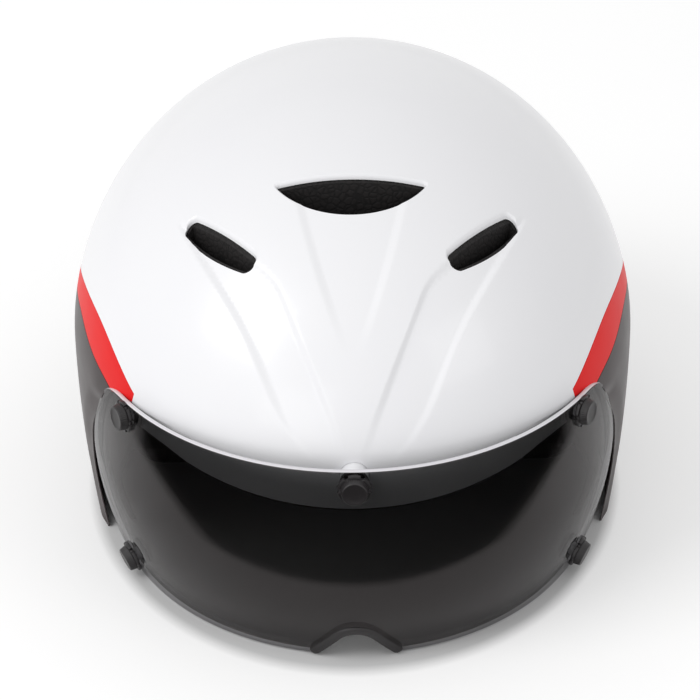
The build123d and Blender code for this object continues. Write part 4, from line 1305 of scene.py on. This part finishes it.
def backgroundRay(tree):
    # 1 for rays that show the background: straight, mirrored or through glass
    path = addNode(tree, "LightPath").outputs
    pair = maths(tree, "MAXIMUM", path["Is Camera Ray"], path["Is Glossy Ray"])
    return maths(tree, "MAXIMUM", pair, path["Is Transmission Ray"])


def eitherShader(tree, factor, off, on):
    # one shader where the factor is 0, another where it is 1
    return addNode(tree, "MixShader", None, {0: factor, 1: off, 2: on}).outputs[0]


def evenLight(tree, kind, strengths):
    # white backgrounds or emissions of these strengths
    return [addNode(tree, kind, None, {"Color": (1, 1, 1, 1), "Strength": strength}).outputs[0]
            for strength in strengths]


def ovalMask(tree, half):
    # 1 on the floor outside an oval round the helmet, 0 inside it, with a soft edge
    spot = addNode(tree, "NewGeometry").outputs["Position"]
    scaled = addNode(tree, "VectorMath", {"operation": "DIVIDE"}, {
        0: spot, 1: (*half, 1000.0)}).outputs["Vector"]
    size = addNode(tree, "VectorMath", {"operation": "LENGTH"}, {0: scaled}).outputs["Value"]
    return ramp(tree, size, 1.0 - studio["edge"] / 2, 1.0 + studio["edge"] / 2)


def paintedReflectionFrontMask(tree):
    # rises from 0 to 1 just in front of the helmet's middle; it bounds the painted dark reflection
    spot = addNode(tree, "NewGeometry").outputs["Position"]
    depth = addNode(tree, "SeparateXYZ", None, {"Vector": spot}).outputs["Y"]
    return ramp(tree, depth, *studio["paintedReflectionFront"])


def makeWorld():
    # pure white where it is seen, dimmer as light
    world = bpy.data.worlds.new("studio")
    bpy.context.scene.world = world
    tree = emptyTree(world)
    dim, full = evenLight(tree, "Background", (studio["world"], 1.0))
    mixed = eitherShader(tree, backgroundRay(tree), dim, full)
    addNode(tree, "OutputWorld", None, {"Surface": mixed})


def paleFloor():
    # an evenly white floor; its lift is left off under the helmet as painted shade, and a strip of
    # floor in front of it is black in mirrors only, a painted dark reflection
    floor = bpy.data.materials.new("paleFloor")
    tree = emptyTree(floor)
    body = addNode(tree, "BsdfDiffuse", None, {"Color": studio["floorColour"]}).outputs[0]
    lift, nothing = evenLight(tree, "Emission", (studio["lift"], 0.0))
    # no lift inside the first oval: the floor under the helmet is darker there, a painted shade
    liftOutsidePaintedShade = maths(tree, "MULTIPLY", backgroundRay(tree), ovalMask(tree, studio["paintedShadeFootprint"]))
    shown = eitherShader(tree, liftOutsidePaintedShade, nothing, lift)
    both = addNode(tree, "AddShader", None, {0: body, 1: shown}).outputs[0]
    # mirrors see the floor black in front of the helmet, between the cloth oval and the outer one:
    # a painted dark reflection
    paintedDarkReflection = addNode(tree, "LightPath").outputs["Is Glossy Ray"]
    inside = maths(tree, "SUBTRACT", 1.0, ovalMask(tree, studio["paintedDarkReflection"]))
    for mask in (inside, paintedReflectionFrontMask(tree), ovalMask(tree, studio["cloth"])):
        paintedDarkReflection = maths(tree, "MULTIPLY", paintedDarkReflection, mask)
    addNode(tree, "OutputMaterial", None, {"Surface": eitherShader(tree, paintedDarkReflection, both, nothing)})
    return floor


def makeFloor():
    reach = studio["reach"]
    mesh = bpy.data.meshes.new("floor")
    corners = [(-reach, -reach, 0), (reach, -reach, 0), (reach, reach, 0), (-reach, reach, 0)]
    mesh.from_pydata(corners, [], [(0, 1, 2, 3)])
    mesh.materials.append(paleFloor())
    newObject("floor", mesh)


lamps = {
    "keyLamp": {"at": (-1.5, -0.9, 1.5), "size": 1.2, "power": 17},
    "fillLamp": {"at": (1.6, -1.2, 1.1), "size": 1.0, "power": 4},
    "frontLamp": {"at": (-1.1, -2.4, 0.4), "size": 1.5, "power": 8},
}


def makeLamps():
    # square soft lamps that face the helmet
    for name, lamp in lamps.items():
        data = bpy.data.lights.new(name, "AREA")
        data.size = lamp["size"]
        data.energy = lamp["power"]
        item = newObject(name, data)
        item.location = lamp["at"]
        away = Vector(studio["aim"]) - Vector(lamp["at"])
        item.rotation_euler = away.to_track_quat("-Z", "Y").to_euler()


print("camera and light")
makeCamera()
makeWorld()
makeFloor()
makeLamps()
bpy.context.scene.view_settings.view_transform = "Standard"
